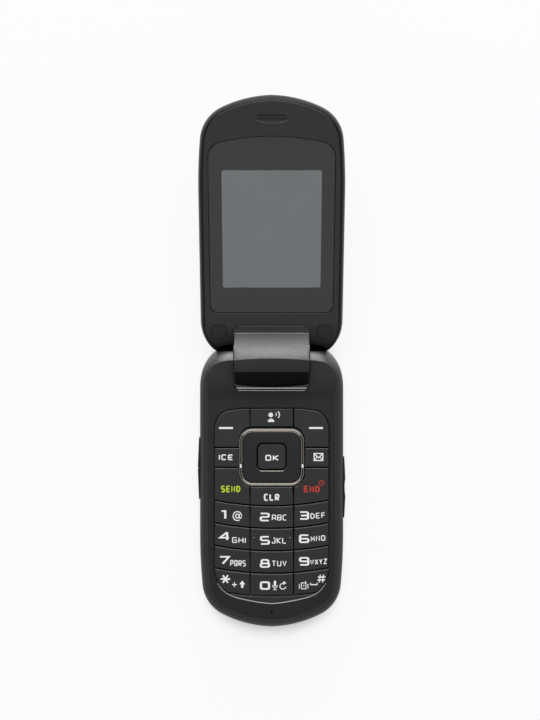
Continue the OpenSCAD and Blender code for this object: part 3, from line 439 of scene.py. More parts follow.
def meet(a, ra, b, rb):
    """Meeting point of two circles, on the right of the way from a to b."""
    way = Vector(b) - Vector(a)
    d = way.length
    k = (ra * ra - rb * rb + d * d) / (2 * d)
    u = way / d
    return Vector(a) + k * u + sqrt(ra * ra - k * k) * Vector((-u.y, u.x))


def half_outline(half_w, hinge_corner, hinge_y, side_places=()):
    """Right half of a body's outline, from the tip at -Y to the hinge corner."""
    tip = (-TIP_POINT, TIP_R - BODY_LEN)
    side = (half_w - SIDE_R, SIDE_START - BODY_LEN)
    corner = meet(tip, TIP_R - CORNER_R, side, SIDE_R - CORNER_R)
    start = -90 + degrees(asin(TIP_POINT / TIP_R))
    turn, end = heading(tip, corner), heading(side, corner)
    lowest = tip[1] - sqrt(TIP_R ** 2 - TIP_POINT ** 2)
    return ([(0, lowest, 0, -1)] + arc(tip, TIP_R, start, turn, 18)[1:-1]
            + arc(corner, CORNER_R, turn, end, 26) + arc(side, SIDE_R, end, 0, 8)[1:]
            + [(half_w, y, 1, 0) for y in side_places]
            + arc((half_w - hinge_corner, hinge_y), hinge_corner, 0, 90, 26))


def squared(half, amount, peak, power):
    """Half outline whose hinge corner bulges, most where it faces away at the angle peak."""
    out = []
    for x, y, nx, ny in half:
        turn = degrees(atan2(ny, nx)) if ny > 0 else 0
        share = turn / peak if turn < peak else (90 - turn) / (90 - peak)
        bulge = amount * sin(pi / 2 * share) ** power
        out.append((x + bulge * nx, y + bulge * ny, nx, ny))
    return out


def inset(half, d, z):
    return [(x - d * nx, y - d * ny, z) for x, y, nx, ny in half]


def smooth(table, parts=3):
    """Catmull-Rom curve through pairs, with that many parts between neighbours."""
    out = []
    last = len(table) - 1
    for i in range(last):
        p = [Vector(table[min(last, max(0, i + k))]) for k in (-1, 0, 1, 2)]
        for s in range(parts):
            t = s / parts
            out.append(0.5 * (2 * p[1] + (p[2] - p[0]) * t
                              + (2 * p[0] - 5 * p[1] + 4 * p[2] - p[3]) * t * t
                              + (3 * p[1] - p[0] - 3 * p[2] + p[3]) * t ** 3))
    return out + [Vector(table[-1])]


def rounded_rect(w, h, r, count=10, x=0, y=0):
    out = []
    for quarter in range(4):
        cx, cy = [(1, 1), (-1, 1), (-1, -1), (1, -1)][quarter]
        for px, py, _, _ in arc((x + cx * (w / 2 - r), y + cy * (h / 2 - r)), r, 90 * quarter,
                                90 * quarter + 90, count):
            out.append((px, py))
    return out


def area(loop):
    return sum(a[0] * b[1] - b[0] * a[1] for a, b in zip(loop, loop[1:] + loop[:1])) / 2


def holds(loop, x, y):
    inside = False
    for a, b in zip(loop, loop[1:] + loop[:1]):
        if (a[1] > y) != (b[1] > y) and x < a[0] + (y - a[1]) / (b[1] - a[1]) * (b[0] - a[0]):
            inside = not inside
    return inside


def slices(node, height, at=BASE):
    """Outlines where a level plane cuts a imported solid, in its body's plan."""
    mesh = bmesh.new()
    mesh.from_mesh(frame["nodes"][node].data)
    mesh.transform(at.inverted() @ Matrix.Scale(1 / MM, 4))
    bmesh.ops.remove_doubles(mesh, verts=mesh.verts, dist=0.001)
    cut = bmesh.ops.bisect_plane(mesh, geom=mesh.verts[:] + mesh.edges[:] + mesh.faces[:],
                                 plane_co=(0, 0, height), plane_no=(0, 0, 1))
    edges = {e for e in cut["geom_cut"] if isinstance(e, bmesh.types.BMEdge)}
    loops = []
    while edges:
        first, here = edges.pop().verts
        loop = [first]
        while here is not first:
            loop.append(here)
            edge = next((e for e in here.link_edges if e in edges), None)
            if edge is None:
                break
            edges.discard(edge)
            here = edge.other_vert(here)
        points = []
        for v in loop:
            if not points or dist(points[-1], v.co.xy) > 0.2:
                points.append((v.co.x, v.co.y))
        if len(points) > 3 and dist(points[0], points[-1]) < 0.2:
            points.pop()
        if len(points) > 3:
            loops.append(points if area(points) > 0 else points[::-1])
    mesh.free()
    return sorted(loops, key=area)


def outline(node, height, at=BASE, around=None):
    """Smallest outline of a slice that holds a point, or the largest of all."""
    loops = slices(node, height, at)
    return loops[-1] if around is None else next(l for l in loops if holds(l, *around))


def grown(loop, d):
    """Outline moved outwards by d, with mitred corners."""
    out = []
    for before, here, after in zip(loop[-1:] + loop[:-1], loop, loop[1:] + loop[:1]):
        n1 = Vector((here[1] - before[1], before[0] - here[0])).normalized()
        n2 = Vector((after[1] - here[1], here[0] - after[0])).normalized()
        step = (n1 + n2) * (d / max(0.3, 1 + n1.dot(n2)))
        out.append((here[0] + step.x, here[1] + step.y))
    return out


def stack(name, loop, steps):
    """Solid of one outline, grown by each step's first value at its second, a height."""
    return lofted(name, [[(x, y, z) for x, y in grown(loop, d)] for d, z in steps])


def plate(name, loop, low, high):
    return stack(name, loop, [(0, low), (0, high)])


def quarter(r):
    """Pairs (inwards, upwards) round a quarter of a circle."""
    turn = [pi / 2 * i / 4 for i in range(5)]
    return [(r * (1 - cos(a)), r * sin(a) - r) for a in turn]


def bevel(r):
    """Pairs (inwards, upwards) over a soft bevel."""
    return [(0, -r), (0.06 * r, -0.8 * r), (0.84 * r, -0.1 * r), (r, 0)]


def round_top(bottom, top, r):
    return [(0, bottom)] + [(-d, top + z) for d, z in bevel(r)]


def pillow(bottom, top, r):
    return [(-d, bottom - z) for d, z in reversed(quarter(r))] + [(-d, top + z) for d, z in quarter(r)]


def flared(bottom, top, r):
    """Cutter that leaves a rounded edge where it comes out of a face."""
    return [(0, bottom)] + [(d, top + z) for d, z in bevel(r)] + [(r, top + 9)]


# ---------- base ----------

def face_at(y):
    """Height of the keypad face, which climbs to the shoulders near the hinge."""
    return FACE + SHOULDER_RISE * max(0, min(1, 1 + y / RAMP_LEN)) ** RAMP_POWER


SHOULDER_PROFILE = smooth([(0, 0), (0.06, 0.3), (0.2, 0.56), (0.4, 0.76), (0.6, 0.88), (0.8, 0.95),
                           (1, 1)], 2)
RIM_SWEEP = radians(56)


def rim_level(half, i):
    """One level of the rim, from its foot to the crease where the face begins."""
    share, low = i / (len(SHOULDER_PROFILE) - 1), FACE - RIM_DROP
    inwards = (1 - cos(RIM_SWEEP * share)) / (1 - cos(RIM_SWEEP))
    upwards = sin(RIM_SWEEP * share) / sin(RIM_SWEEP)
    out = []
    for x, y, nx, ny in half:
        back = max(0, ny) ** 2
        across = inwards + (SHOULDER_PROFILE[i][0] - inwards) * back
        up = upwards + (SHOULDER_PROFILE[i][1] - upwards) * back
        end_x, end_y = crease_at(x, y, nx, ny)
        out.append((x + across * (end_x - x), y + across * (end_y - y),
                    low + (face_at(end_y) - low) * up))
    return out


def crease_at(x, y, nx, ny):
    """Where the face begins, for a point of the outline; it turns more squarely at the hinge."""
    if ny <= 0:
        return x - RIM_W * nx, y - RIM_W * ny
    reach, power = BASE_CORNER - RIM_W, 2 / 3.3
    return (HALF_W - BASE_CORNER + reach * nx ** power,
            SHOULDER_R - BASE_CORNER + (BASE_CORNER - SHOULDER_R + 0.15) * ny ** power)


def base_half():
    corner_y = SHOULDER_R - BASE_CORNER
    places = [corner_y - (RAMP_LEN + corner_y) * (1 - i / 6) for i in range(6)]
    return squared(half_outline(HALF_W, BASE_CORNER, corner_y, places), BASE_BULGE, 55, 2)


NOTCH_STEPS = ((0, -5), (0, 9.1), (0.3, 9.22), (0.62, 9.24), (0.9, 9.32), (1.15, 9.36), (1.15, FAR))


def notch_cutter():
    """Barrel's notch, with the stepped lip in front of the barrel."""
    rings = []
    for d, z in NOTCH_STEPS:
        side, corner, front = NOTCH_HALF, NOTCH_HALF - 1.0 - 0.8 * d, -NOTCH_Y - d
        rings.append([(-side, FAR, z), (-side, 0.9 - NOTCH_Y, z), (-corner, front, z),
                      (corner, front, z), (side, 0.9 - NOTCH_Y, z), (side, FAR, z)])
    return lofted("cutter", rings)


def lobe_room_cutter():
    """Room behind the shoulders for the lid's lobes, down to the open stop."""
    stop = -pi / 2 + OPEN_TILT - asin((LOBE_END - LOBE_PLAY) / SHOULDER_R)
    curve = [stop * (1 - i / 30) for i in range(31)]
    points = [(SHOULDER_R * cos(a), AXIS.z + SHOULDER_R * sin(a)) for a in curve]
    away = (FAR * cos(stop), AXIS.z + FAR * sin(stop))
    return prism_x("cutter", points + [(FAR, AXIS.z), (FAR, -FAR), away])


WINDOW_Z, PAD_H, PAD_PROUD, PAD_DEPTH = 5.2, 3.4, 0.75, 2.7
PADS = {"volume_rocker": (-1, 36.6, 21.7), "side_key": (1, 43.1, 21.5)}
CAP_Z, CAP_H, CAP_DEPTH = 3.55, 2.5, 1.05
CAPS = {"port_cover": (-1, 17.5, 7.8), "jack_cover": (1, 18.8, 8.2)}
JACK_R = 1.8


def window_cutter(side, y, length, z, height, depth):
    """Rounded opening in the base's side."""
    loop = rounded_rect(length + 2 * PLAY, height + 2 * PLAY, 0.8)
    return to_side(stack("cutter", loop, flared(-depth, 0, 0.12)), side, y, z)


def to_side(piece, side, y, z):
    """Turns a piece drawn flat so that its +Z looks out of the base's side."""
    turn = Matrix(((0, 0, side, side * HALF_W), (side, 0, 0, -y), (0, 1, 0, z), (0, 0, 0, 1)))
    piece.data.transform(turn)
    straighten(piece)
    return piece


def pad_windows():
    return [window_cutter(side, y, length, WINDOW_Z, PAD_H, PAD_DEPTH)
            for side, y, length in PADS.values()]


def base_front():
    half = base_half()
    rows = [inset(half, SEAM_GROOVE, SEAM), inset(half, 0, SEAM + 0.15)]
    rows += [rim_level(half, i) for i in range(len(SHOULDER_PROFILE))]
    shell = mirrored_loft("base_front_shell", rows)
    keypad = keypad_recess()
    keys = warped(outline("base_front_housing", FACE - LEDGE_DEPTH - 0.3, around=KEYPAD_MIDDLE))
    cutters = [stack("cutter", keypad, flared(FACE - LEDGE_DEPTH, FACE, 0.32)),
               plate("cutter", grown(keys, -0.04), POCKET_FLOOR, FACE - 0.3),
               notch_cutter(), lobe_room_cutter(),
               tube_z(0, MIC_Y, MIC_R, POCKET_FLOOR, FAR, 20)]
    cutters += pad_windows()
    crease = [(x - 0.03 * nx, y - 0.03 * ny) for (x, y), (_, _, nx, ny) in
              ((crease_at(*p), p) for p in half)]
    crease += [(-x, y) for x, y in reversed(crease[1:])]

    # Walls in the notch get painted shade, the rim painted light, and the recess's edge that faces the
    # lid a painted highlight.
    def in_notch(middle, normal):
        return abs(middle.x) < NOTCH_HALF + 0.02 and middle.y > -NOTCH_Y - 0.02

    def on_rim(middle, normal):
        return normal.z > 0.02 and middle.z > FACE - RIM_DROP and not holds(crease, middle.x, middle.y)

    def on_edge(middle, normal):
        return (middle.y < EDGE_START and FACE - LEDGE_DEPTH < middle.z < FACE
                and 0.25 < normal.z < 0.95 and normal.y > 0.3)

    finish(combine(shell, cutters), "base", "soft_black", stands_for=["base_front_housing"],
           accents=[(in_notch, "barrel_black_and_shade"), (on_rim, "rim_painted_sheen"), (on_edge, "recess_painted_highlight")])
    ledge = stack("keypad_ledge", grown(keypad, -0.12),
                  [(0, FACE - LEDGE_DEPTH - 0.1), (0, FACE - 0.45), (-0.1, FACE - 0.38)])
    combine(ledge, [stack("cutter", grown(keys, 0.12), flared(FACE - 2, FACE - 0.38, 0.3)),
                    block((-FAR, LEDGE_START, -FAR), (FAR, FAR, FAR))])
    finish(ledge, "base", "soft_black", look_of="key_black", accents=[(faces_lid, "key_edge")])


# EDGE_START is where the painted highlight on the recess's edge begins.
EDGE_START, LEDGE_START = -70, -74      # where the recess's light edge and its ledge begin
KEYPAD_FOOT = [(0, 0), (3.03, 0.26), (6.46, 0.82), (9.93, 1.55), (12.8, 2.4), (15.3, 3.75),
               (17.3, 5.95), (18.6, 8.7), (18.94, 11.5)]


def keypad_recess():
    """Outline of the sunk area around the keys, with a smoothly rounded foot."""
    ledge = outline("base_front_housing", FACE - LEDGE_DEPTH / 2, around=KEYPAD_MIDDLE)
    loop = hull(warped(ledge, 0))
    low, wide = min(y for _, y in loop), max(x for x, y in loop if y < -60)
    whole = [(-x, y) for x, y in reversed(KEYPAD_FOOT[1:])] + KEYPAD_FOOT
    foot = [(x * wide / KEYPAD_FOOT[-1][0], low + y) for x, y in smooth(whole)]
    rest = [p for p in loop if p[1] > low + KEYPAD_FOOT[-1][1] + 0.5]
    return sorted(foot + rest, key=lambda p: atan2(p[1] - KEYPAD_MIDDLE[1], p[0]))


# Faces that look towards the lid, where the lamps are; their looks are painted highlights.
def faces_lid(middle, normal):
    return normal.y > 0.4 and normal.z > 0.3


NUDGES = [(0, 0.33), (-16, 0.33), (-22, 0.05), (-30, -0.13), (-36, -0.17), (-48, -0.28), (-62, -0.33),
          (-74, -0.36)]


def warped(loop, closing=-0.4):
    """Keypad outline nudged along Y onto the places the photo shows."""
    table = NUDGES + [(-77, closing), (-2 * FAR, closing)]
    out = []
    for x, y in loop:
        a, b = next((a, b) for a, b in zip(table, table[1:]) if y >= b[0])
        out.append((x, y + a[1] + (b[1] - a[1]) * (y - a[0]) / (b[0] - a[0])))
    return out


def hull(points):
    """Convex outline around points."""
    out = []
    for sign in (1, -1):
        row = []
        for p in sorted(points, reverse=sign < 0):
            while len(row) > 1 and (row[-1][0] - row[-2][0]) * (p[1] - row[-2][1]) <= \
                    (row[-1][1] - row[-2][1]) * (p[0] - row[-2][0]):
                row.pop()
            row.append(p)
        out += row[:-1]
    return out


def lip_edges():
    """Two polished edges of the notch's stepped lip."""
    for name, near, deep, end, z in (("lip_edge_low", 0, 0.3, 12.35, 9.12),
                                     ("lip_edge_high", 0.86, 0.26, 11.6, 9.25)):
        back = -NOTCH_Y - near
        loop = [(back, z + 0.11), (back - deep, z), (back - deep, z - 0.2), (back, z - 0.2)]
        rings = [[(x + (0.5 if x > 0 else -0.5) * (y + NOTCH_Y + near), y, h) for y, h in loop]
                 for x in (-end, 0, end)]
        finish(lofted(name, rings), "base", "soft_black", look_of="lip_light")


def rear_rows(half, top):
    """Levels of the rear shell, whose lower edge is a quarter of an ellipse."""
    rows = []
    for i in range(9):
        z = min(top, REAR_EDGE_H * (1 - cos(pi / 2 * i / 8)))
        rows.append(inset(half, REAR_EDGE * (1 - sqrt(1 - (1 - z / REAR_EDGE_H) ** 2)), z))
        if z == top:
            break
    return rows


COVER_T, COVER_Y = 1.0, 30
BATTERY_HALF, BATTERY_TOP, BATTERY_LEN = 17, 34, 45
SCREWS = [(x * s, y) for s in (-1, 1) for x, y in ((15, -32), (12, -81))]
SCREW_R = 1.35
SOUND_HOLES = [8.5 + 1.8 * i for i in (-1, 0, 1)]


def base_rear():
    half = base_half()
    rows = rear_rows(half, SEAM)
    rows += [inset(half, 0, SEAM - 0.15), inset(half, SEAM_GROOVE, SEAM)]
    shell = mirrored_loft("base_rear_shell", rows)
    cutters = [block((-FAR, -2 * FAR, -FAR), (FAR, -COVER_Y, COVER_T + 0.05)),
               block((-BATTERY_HALF - PLAY, -BATTERY_TOP - BATTERY_LEN - PLAY, -1),
                     (BATTERY_HALF + PLAY, -BATTERY_TOP + PLAY, SEAM - 0.1)),
               notch_cutter(), lobe_room_cutter()]
    cutters += pad_windows()
    cutters += [window_cutter(side, y, length, CAP_Z, CAP_H, CAP_DEPTH + PLAY)
                for side, y, length in CAPS.values()]
    low, high = box_mm("charge_socket")
    cutters.append(block((-FAR, low.y - AXIS.y - PLAY, low.z - PLAY),
                         (high.x + PLAY, high.y - AXIS.y + PLAY, CAP_Z + CAP_H / 2)))
    cutters.append(tube_x(-CAPS["jack_cover"][1], CAP_Z, JACK_R, 14.5, FAR))
    cutters += [tube_z(x, y, SCREW_R, COVER_T, COVER_T + 1, 24) for x, y in SCREWS]
    cutters += [tube_z(x, -24.1, 0.4, -1, 1.4, 20) for x in SOUND_HOLES]
    finish(combine(shell, cutters), "base", "rear_black", stands_for=["base_rear_housing"])


def battery_door():
    rows = rear_rows(base_half(), COVER_T)
    door = mirrored_loft("battery_door", rows)
    grips = [tube_x(-y, -0.15, 0.42, -7, 7, 24) for y in (35, 36.6, 38.2, 39.8)]
    away = block((-FAR, -COVER_Y - PLAY, -FAR), (FAR, FAR, FAR))
    finish(combine(door, [away] + grips), "battery_cover", "rear_black", stands_for=["battery_cover"])


def side_pads():
    """Volume rocker with a valley in its middle, and the long dished key."""
    for name, (side, y, length) in PADS.items():
        loop = rounded_rect(length - 0.3, PAD_H, 0.9)
        pad = stack(name + "_pad", loop, round_top(-2.3, PAD_PROUD, 0.3))
        if name == "volume_rocker":
            cut = lofted("cutter", [[(x, v, w) for x, w in ((-0.95, 2), (0, PAD_PROUD - 0.5), (0.95, 2))]
                                    for v in (-FAR, FAR)])
        else:
            cut = tube_y(0, PAD_PROUD + 14.7, 15)
        combine(pad, [cut])
        for v in pad.data.vertices:
            if v.co.z > 0:
                v.co.z -= v.co.x ** 2 / 260
        to_side(pad, side, y, WINDOW_Z)
        finish(pad, name, "side_key_black", stands_for=[name])


def socket_caps():
    """Flush covers of the two sockets, each with a nail dip at its lower end."""
    for name, (side, y, length) in CAPS.items():
        cap = stack(name + "_cap", rounded_rect(length, CAP_H, 0.5), round_top(-CAP_DEPTH, 0, 0.16))
        combine(cap, [tube_y(-side * (length / 2 - 1.6), 2.1, 2.4)])
        to_side(cap, side, y, CAP_Z)
        finish(cap, name, "rear_black", stands_for=[name])


# ---------- keys ----------

KEYS = [n for n in frame["nodes"] if n.endswith("_key") and n not in ("ok_key", "side_key")]
KEYS += [n for n in frame["nodes"] if n.startswith("key_")]
KEYS += ["soft_key_left", "soft_key_right"]
# How far the two sides of a key move, by the column that it is in.
COLUMN_SHIFTS = {"left": (-0.06, 0.2), "middle": (0.1, 0), "right": (0, 0.06)}
key_top = {}


def key_cap(name, loop, bottom, top, slope=0.24):
    """Key whose edge towards the lid has a broad bevel, and a narrow one elsewhere."""
    rings = []
    turns = [a[1] - b[1] for a, b in zip(loop, grown(loop, -1))]
    ups = [max(0, min(1, 2 * turn - 0.8)) for turn in turns]
    loop = [(x, y + 0.2 * max(0, min(1, -2 * turn - 0.8))) for (x, y), turn in zip(loop, turns)]
    for share, z in ((0, bottom), (0, top - 0.28), (0.06, top - 0.24), (0.9, top - 0.03), (1, top)):
        near, far = grown(loop, -0.25 * slope * share), grown(loop, -slope * share)
        rings.append([(a[0] + (b[0] - a[0]) * up, a[1] + (b[1] - a[1]) * up, z)
                      for a, b, up in zip(near, far, ups)])
    return lofted(name, rings)


def keys():
    for name in KEYS:
        top = box_mm(name)[1].z
        key_top[name] = top
        loop = warped(outline(name, top - 0.4))
        low, high = min(x for x, _ in loop), max(x for x, _ in loop)
        shift = COLUMN_SHIFTS["left" if high < 0 else "middle" if low < 0 else "right"]
        loop = [(x + shift[x > (low + high) / 2], y) for x, y in loop]
        # Edges that face the lid get a painted highlight.
        finish(key_cap(name + "_cap", loop, top - 1.2, top), name, "key_black", stands_for=[name],
               accents=[(faces_lid, "key_edge")])


def navigation():
    """Bright ring, dished pad and the key in its middle."""
    low, high = box_mm("nav_ring")
    w, h = high.x - low.x, high.y - low.y + RING_LONGER
    mid = (high.y + low.y - RING_LONGER) / 2 - AXIS.y
    side, top, bottom, r, bow = 0.95, 1.5, 1.25, 4.1, 0.62
    outer = rounded_rect(w, h, r, 14, y=mid)
    inner = rounded_rect(w - 2 * side, h - top - bottom, r - side / 2, 14, y=mid + (bottom - top) / 2)
    outer = [(x, y - copysign(bow * (2 * x / w) ** 2, y - mid) if abs(y - mid) > h / 2 - r else y)
             for x, y in outer]
    rings = []
    for share, drop in ((0, None), (0, 0.3), (0.09, 0.1), (0.18, 0.05), (0.34, 0), (0.5, 0), (0.66, 0),
                        (0.82, 0.05), (0.91, 0.1), (1, 0.3), (1, None)):
        ring = []
        for a, b in zip(outer, inner):
            ends = max(0, min(1, (abs(a[1] - mid) / (h / 2) - 0.6) * 3))
            z = low.z if drop is None else high.z - drop - 0.22 * ends * (2 * share - 1) ** 2
            ring.append((a[0] + (b[0] - a[0]) * share, a[1] + (b[1] - a[1]) * share, z))
        rings.append(ring)
    # The ring's slopes get a painted reflection.
    finish(lofted("nav_chrome_ring", rings, closed=True), "nav_tilt", "chrome_trim",
           stands_for=["nav_ring"], accents=[(lambda _, normal: 0.15 < normal.z < 0.9, "ring_painted_reflection")])
    # Two small white dashes on the ring's sides: painted glints.
    for x, name in ((-1, "ring_painted_glint_left"), (1, "ring_painted_glint_right")):
        painted_glint = rounded_rect(0.5, 1.3, 0.2, 4, x=x * (w / 2 - side / 2), y=mid - 2.9)
        finish(plate(name, painted_glint, high.z - 0.1, high.z + 0.02), "nav_tilt", "chrome_trim",
               look_of="print_white")
    low, high = box_mm("nav_pad")
    loops = slices("nav_pad", (low.z + high.z) / 2)
    middle = (low.y + high.y) / 2 - AXIS.y
    rim = [(x, y - (RING_LONGER - 0.1) * (y < middle - 4)) for x, y in loops[-1]]
    hole = grown(loops[0], -OK_SMALLER)
    pad = stack("nav_pad_cap", rim, round_top(low.z, high.z, 0.25))
    combine(pad, [stack("cutter", hole, flared(low.z - 1, high.z, 0.3))])
    finish(pad, "nav_pad", "nav_black", stands_for=["nav_pad"])
    rings = [[(x, y, high.z + z) for x, y in grown(hole, d)]
             for d, z in ((0.02, -0.45), (0.02, -0.2), (0.3, 0.02), (0.36, -0.1))]
    glint = lofted("nav_glint", rings, closed=True)
    foot_y = min(y for _, y in hole)
    combine(glint, [block((-FAR, foot_y + 1.1, -FAR), (FAR, FAR, FAR))])
    finish(glint, "nav_pad", "chrome_trim")
    top = box_mm("ok_key")[1].z
    key_top["ok_key"] = top
    loop = grown(outline("ok_key", top - 0.3), -OK_SMALLER)
    finish(key_cap("ok_cap", loop, top - 0.9, top, 0.25), "ok_key", "key_black", stands_for=["ok_key"])


# ---------- lid ----------

def lid_loft(name, levels, reach=0.0):
    """Lid shell through (inset, height) levels; reach takes it further out at the tip."""
    half = squared(half_outline(LID_HALF_W, LID_CORNER, -LOBE_END - LID_CORNER), LID_BULGE, 55, 1.5)
    half = [(x - LID_SLIM * nx + far * nx, y + far * ny, nx, ny) for x, y, nx, ny in half
            for far in (reach * min(1, 1.4 * min(0, ny) ** 2),)]
    piece = mirrored_loft(name, [inset(half, d, z) for d, z in levels])
    piece.data.transform(Matrix.Scale(-1, 4, (0, 1, 0)))
    straighten(piece)
    return piece


def relief_cutter():
    """Hollowed underside of the lobes, which clears the shoulders when the lid shuts."""
    curve = [(RELIEF_LEN * (1 - t), INNER_N - RELIEF_DEPTH * t ** 2)
             for t in (i / 26 for i in range(27))]
    return prism_x("cutter", curve + [(-FAR, INNER_N - RELIEF_DEPTH), (-FAR, FAR), (RELIEF_LEN, FAR)])


def lobe_cutter():
    """Room for the base's shoulders, which are round at their outer corners."""
    corner = [p for p in base_half() if p[3] > 0]
    places = [-24.6, -24.2, -23.6, -22.8, -22, -21, -20, -19, -18, -17, -16, -15, -14]
    rings = []
    for x in [-FAR] + places + [-p for p in reversed(places)] + [FAR]:
        end = next((a[1] + (b[1] - a[1]) * (a[0] - abs(x)) / (a[0] - b[0])
                    for a, b in zip(corner, corner[1:]) if b[0] <= abs(x) <= a[0]), -9)
        r = min(LOBE_R, max(3.1, end + 0.4))
        rings.append([(x, y, z) for y, z in ellipse(0, 0, r, 96)])
    return lofted("cutter", rings)


def lid_notch_cutter(y, r=0.0):
    side = NOTCH_HALF
    loop = [(-side, -FAR), (side, -FAR)]
    loop += [p[:2] for p in arc((side - 1.5, y - 1.5), 1.5, 0, 90, 8)]
    loop += [p[:2] for p in arc((1.5 - side, y - 1.5), 1.5, 90, 180, 8)]
    steps = flared(-FAR, INNER_N, r) if r else [(0, -FAR), (0, FAR)]
    return stack("cutter", loop, steps)


def earpiece_cutters():
    """Shallow scoop and two rows of holes."""
    pitch, rows = 0.85, ((0.5, 10), (-0.5, 11))
    scoop = []
    for share, z in ((1, 4), (1, 0), (0.92, -0.2), (0.75, -0.32), (0.4, -0.4)):
        loop = ellipse(0, EAR_Y - 0.15, 5.6 * share, 48, 1.8 * share)
        scoop.append([(x, y, INNER_N + z) for x, y in loop])
    holes = [tube_z(pitch * (i - (count - 1) / 2), EAR_Y + dy, 0.24, INNER_N - 1.2, FAR, 12)
             for dy, count in rows for i in range(count)]
    return [lofted("cutter", scoop)] + holes


def lid_inner():
    levels = [(LID_RIM, INNER_FOOT_N), (LID_RIM, INNER_N - 0.4)]
    levels += [(LID_RIM + d, INNER_N + z) for d, z in quarter(0.1)]
    shell = lid_loft("lid_inner_shell", levels, FACE_REACH)
    lens = outline("lid_inner_housing", INNER_N - 0.5, LID, (0, 50))
    cutters = [lid_notch_cutter(LID_NOTCH_Y, 0.35), relief_cutter(), lobe_cutter(),
               stack("cutter", lens, flared(INNER_N - 1.2, INNER_N, 0.1))]
    for side in (-1, 1):
        pocket = outline("lid_inner_housing", INNER_N - 1.0, LID, (BUMPER_X * side, BUMPER_Y))
        cutters.append(stack("cutter", pocket, [(0.1, INNER_N - 1.3), (0.1, FAR)]))
    cutters += earpiece_cutters()
    finish(combine(shell, cutters), "lid", "soft_black", LID, ["lid_inner_housing"], "lid_face")


def notch_painted_highlight():
    """Thin strip along the lid's notch, with a painted highlight."""
    loop = [(LID_NOTCH_Y + y, INNER_N + z)
            for y, z in ((0, -0.4), (0.34, -0.4), (0.34, 0.01), (0.2, 0.01), (0, -0.14))]
    finish(prism_x("lid_notch_painted_highlight", loop, -10.9, 10.9), "lid", "soft_black", LID,
           look_of="key_edge")


COVER_PROFILE = [(12, 0), (8, 0.012), (4.2, 0.055), (2.2, 0.125), (1, 0.23), (0.3, 0.37), (0, 0.54),
                 (0.08, 0.7), (0.35, 0.82), (0.75, 0.9)]


def lid_outer():
    levels = [(d, BACK_N + LID_T * share) for d, share in smooth(COVER_PROFILE)]
    shell = lid_loft("lid_outer_shell", levels)
    bed = lid_loft("cutter", [(LID_RIM - PLAY, INNER_FOOT_N - 0.05), (LID_RIM - PLAY, FAR)],
                   FACE_REACH)
    window = plate("cutter", rounded_rect(OUTER_W + 2 * PLAY, OUTER_H + 2 * PLAY, 5, y=OUTER_Y),
                   BACK_N - 5, BACK_N + 0.95)
    cutters = [lid_notch_cutter(BARREL_R + 0.5), relief_cutter(), lobe_cutter(), bed, window]
    finish(combine(shell, cutters), "lid", "gloss_black", LID, ["lid_outer_cover"])


def display():
    """Black-bordered lens with the grey window of the unlit panel."""
    low, high = INNER_N - LENS_RECESS - 0.8, INNER_N - LENS_RECESS
    loop = outline("display_lens", (low + high) / 2, LID)
    finish(stack("lens_border", loop, round_top(low, high, 0.08)), "lid", "lens_clear", LID,
           ["display_lens"])
    window = rounded_rect(WINDOW_W, WINDOW_H, 0.7, y=WINDOW_Y + WINDOW_H / 2)
    finish(plate("display_window", window, high - 0.1, high + 0.012), "lid", "display_grey", LID)


def bumpers():
    for side, name in ((-1, "bumper_left"), (1, "bumper_right")):
        loop = outline("lid_bumpers", INNER_N - 1.0, LID, (BUMPER_X * side, BUMPER_Y))
        pad = plate(name, loop, INNER_N - 1.3, 0.5)
        relief = relief_cutter()
        relief.data.transform(Matrix.Translation((0, 0, 0.1)))
        combine(pad, [relief, block((-FAR, -FAR, INNER_N + 0.1), (FAR, FAR, FAR))])
        finish(pad, "lid", "bumper_rubber", LID, ["lid_bumpers"] if side < 0 else [])


def outer_window():
    """Tinted pane on the lid's back, with the small display and the camera behind it."""
    pane = rounded_rect(OUTER_W, OUTER_H, 4.85, y=OUTER_Y)
    finish(stack("outer_pane", pane, pillow(BACK_N + 0.02, BACK_N + 0.9, 0.25)), "lid",
           "outer_lens_dark", LID, ["outer_lens"])
    screen = rounded_rect(17, 13, 0.6, y=OUTER_Y - 5)
    finish(plate("outer_screen", screen, BACK_N + 0.01, BACK_N + 0.3), "lid", "display_grey", LID,
           look_of="outer_screen")
    camera_y = OUTER_Y + CAMERA_OFF
    levels = ((3.3, 0.3), (3.3, -0.1), (3.15, -0.2), (2.75, -0.2), (2.6, -0.1), (2.6, 0.3))
    rings = [disc_at(0, camera_y, r, BACK_N + z, 64) for r, z in levels]
    finish(lofted("camera_ring", rings, closed=True), "lid", "chrome_trim", LID)
    rings = []
    for share in (0, 0.3, 0.6, 0.85, 1):
        r = 2.2 * sqrt(1 - (1 - share) ** 2) if share else 0.2
        rings.append(disc_at(0, camera_y, r, BACK_N + 0.02 - 0.35 * (1 - share) + 0.2, 48))
    finish(lofted("camera_glass", rings), "lid", "outer_lens_dark", LID)


# ---------- hinge barrel ----------

def crown(x):
    """Radius of the barrel, which is fullest in its middle and rounded at its ends."""
    drop = BARREL_R - BARREL_END_R
    big = (BARREL_HALF ** 2 + drop ** 2) / (2 * drop)
    r = BARREL_R - big + sqrt(big * big - x * x)
    edge = 0.35
    over = max(0, abs(x) - (BARREL_HALF - edge)) / edge
    return r - edge * (1 - sqrt(max(0, 1 - over * over)))


def hinge_point(x, r, angle):
    """Point at a radius from the axis; the angle starts at the top and grows towards the lid."""
    return (x, r * sin(radians(angle)), r * cos(radians(angle)))


def barrel_point(x, angle, proud=0.0):
    return hinge_point(x, crown(x) + proud, angle)


CORE_R = 7.6
BULGE = Vector((0, 0.12, 0.1))          # how far the cover's front swells, at most
COVER_EDGE = 9.85                       # radius of the straight edge of the barrel's cover
COVER_TURN = 77                         # where the cover's flat front meets that edge, in degrees


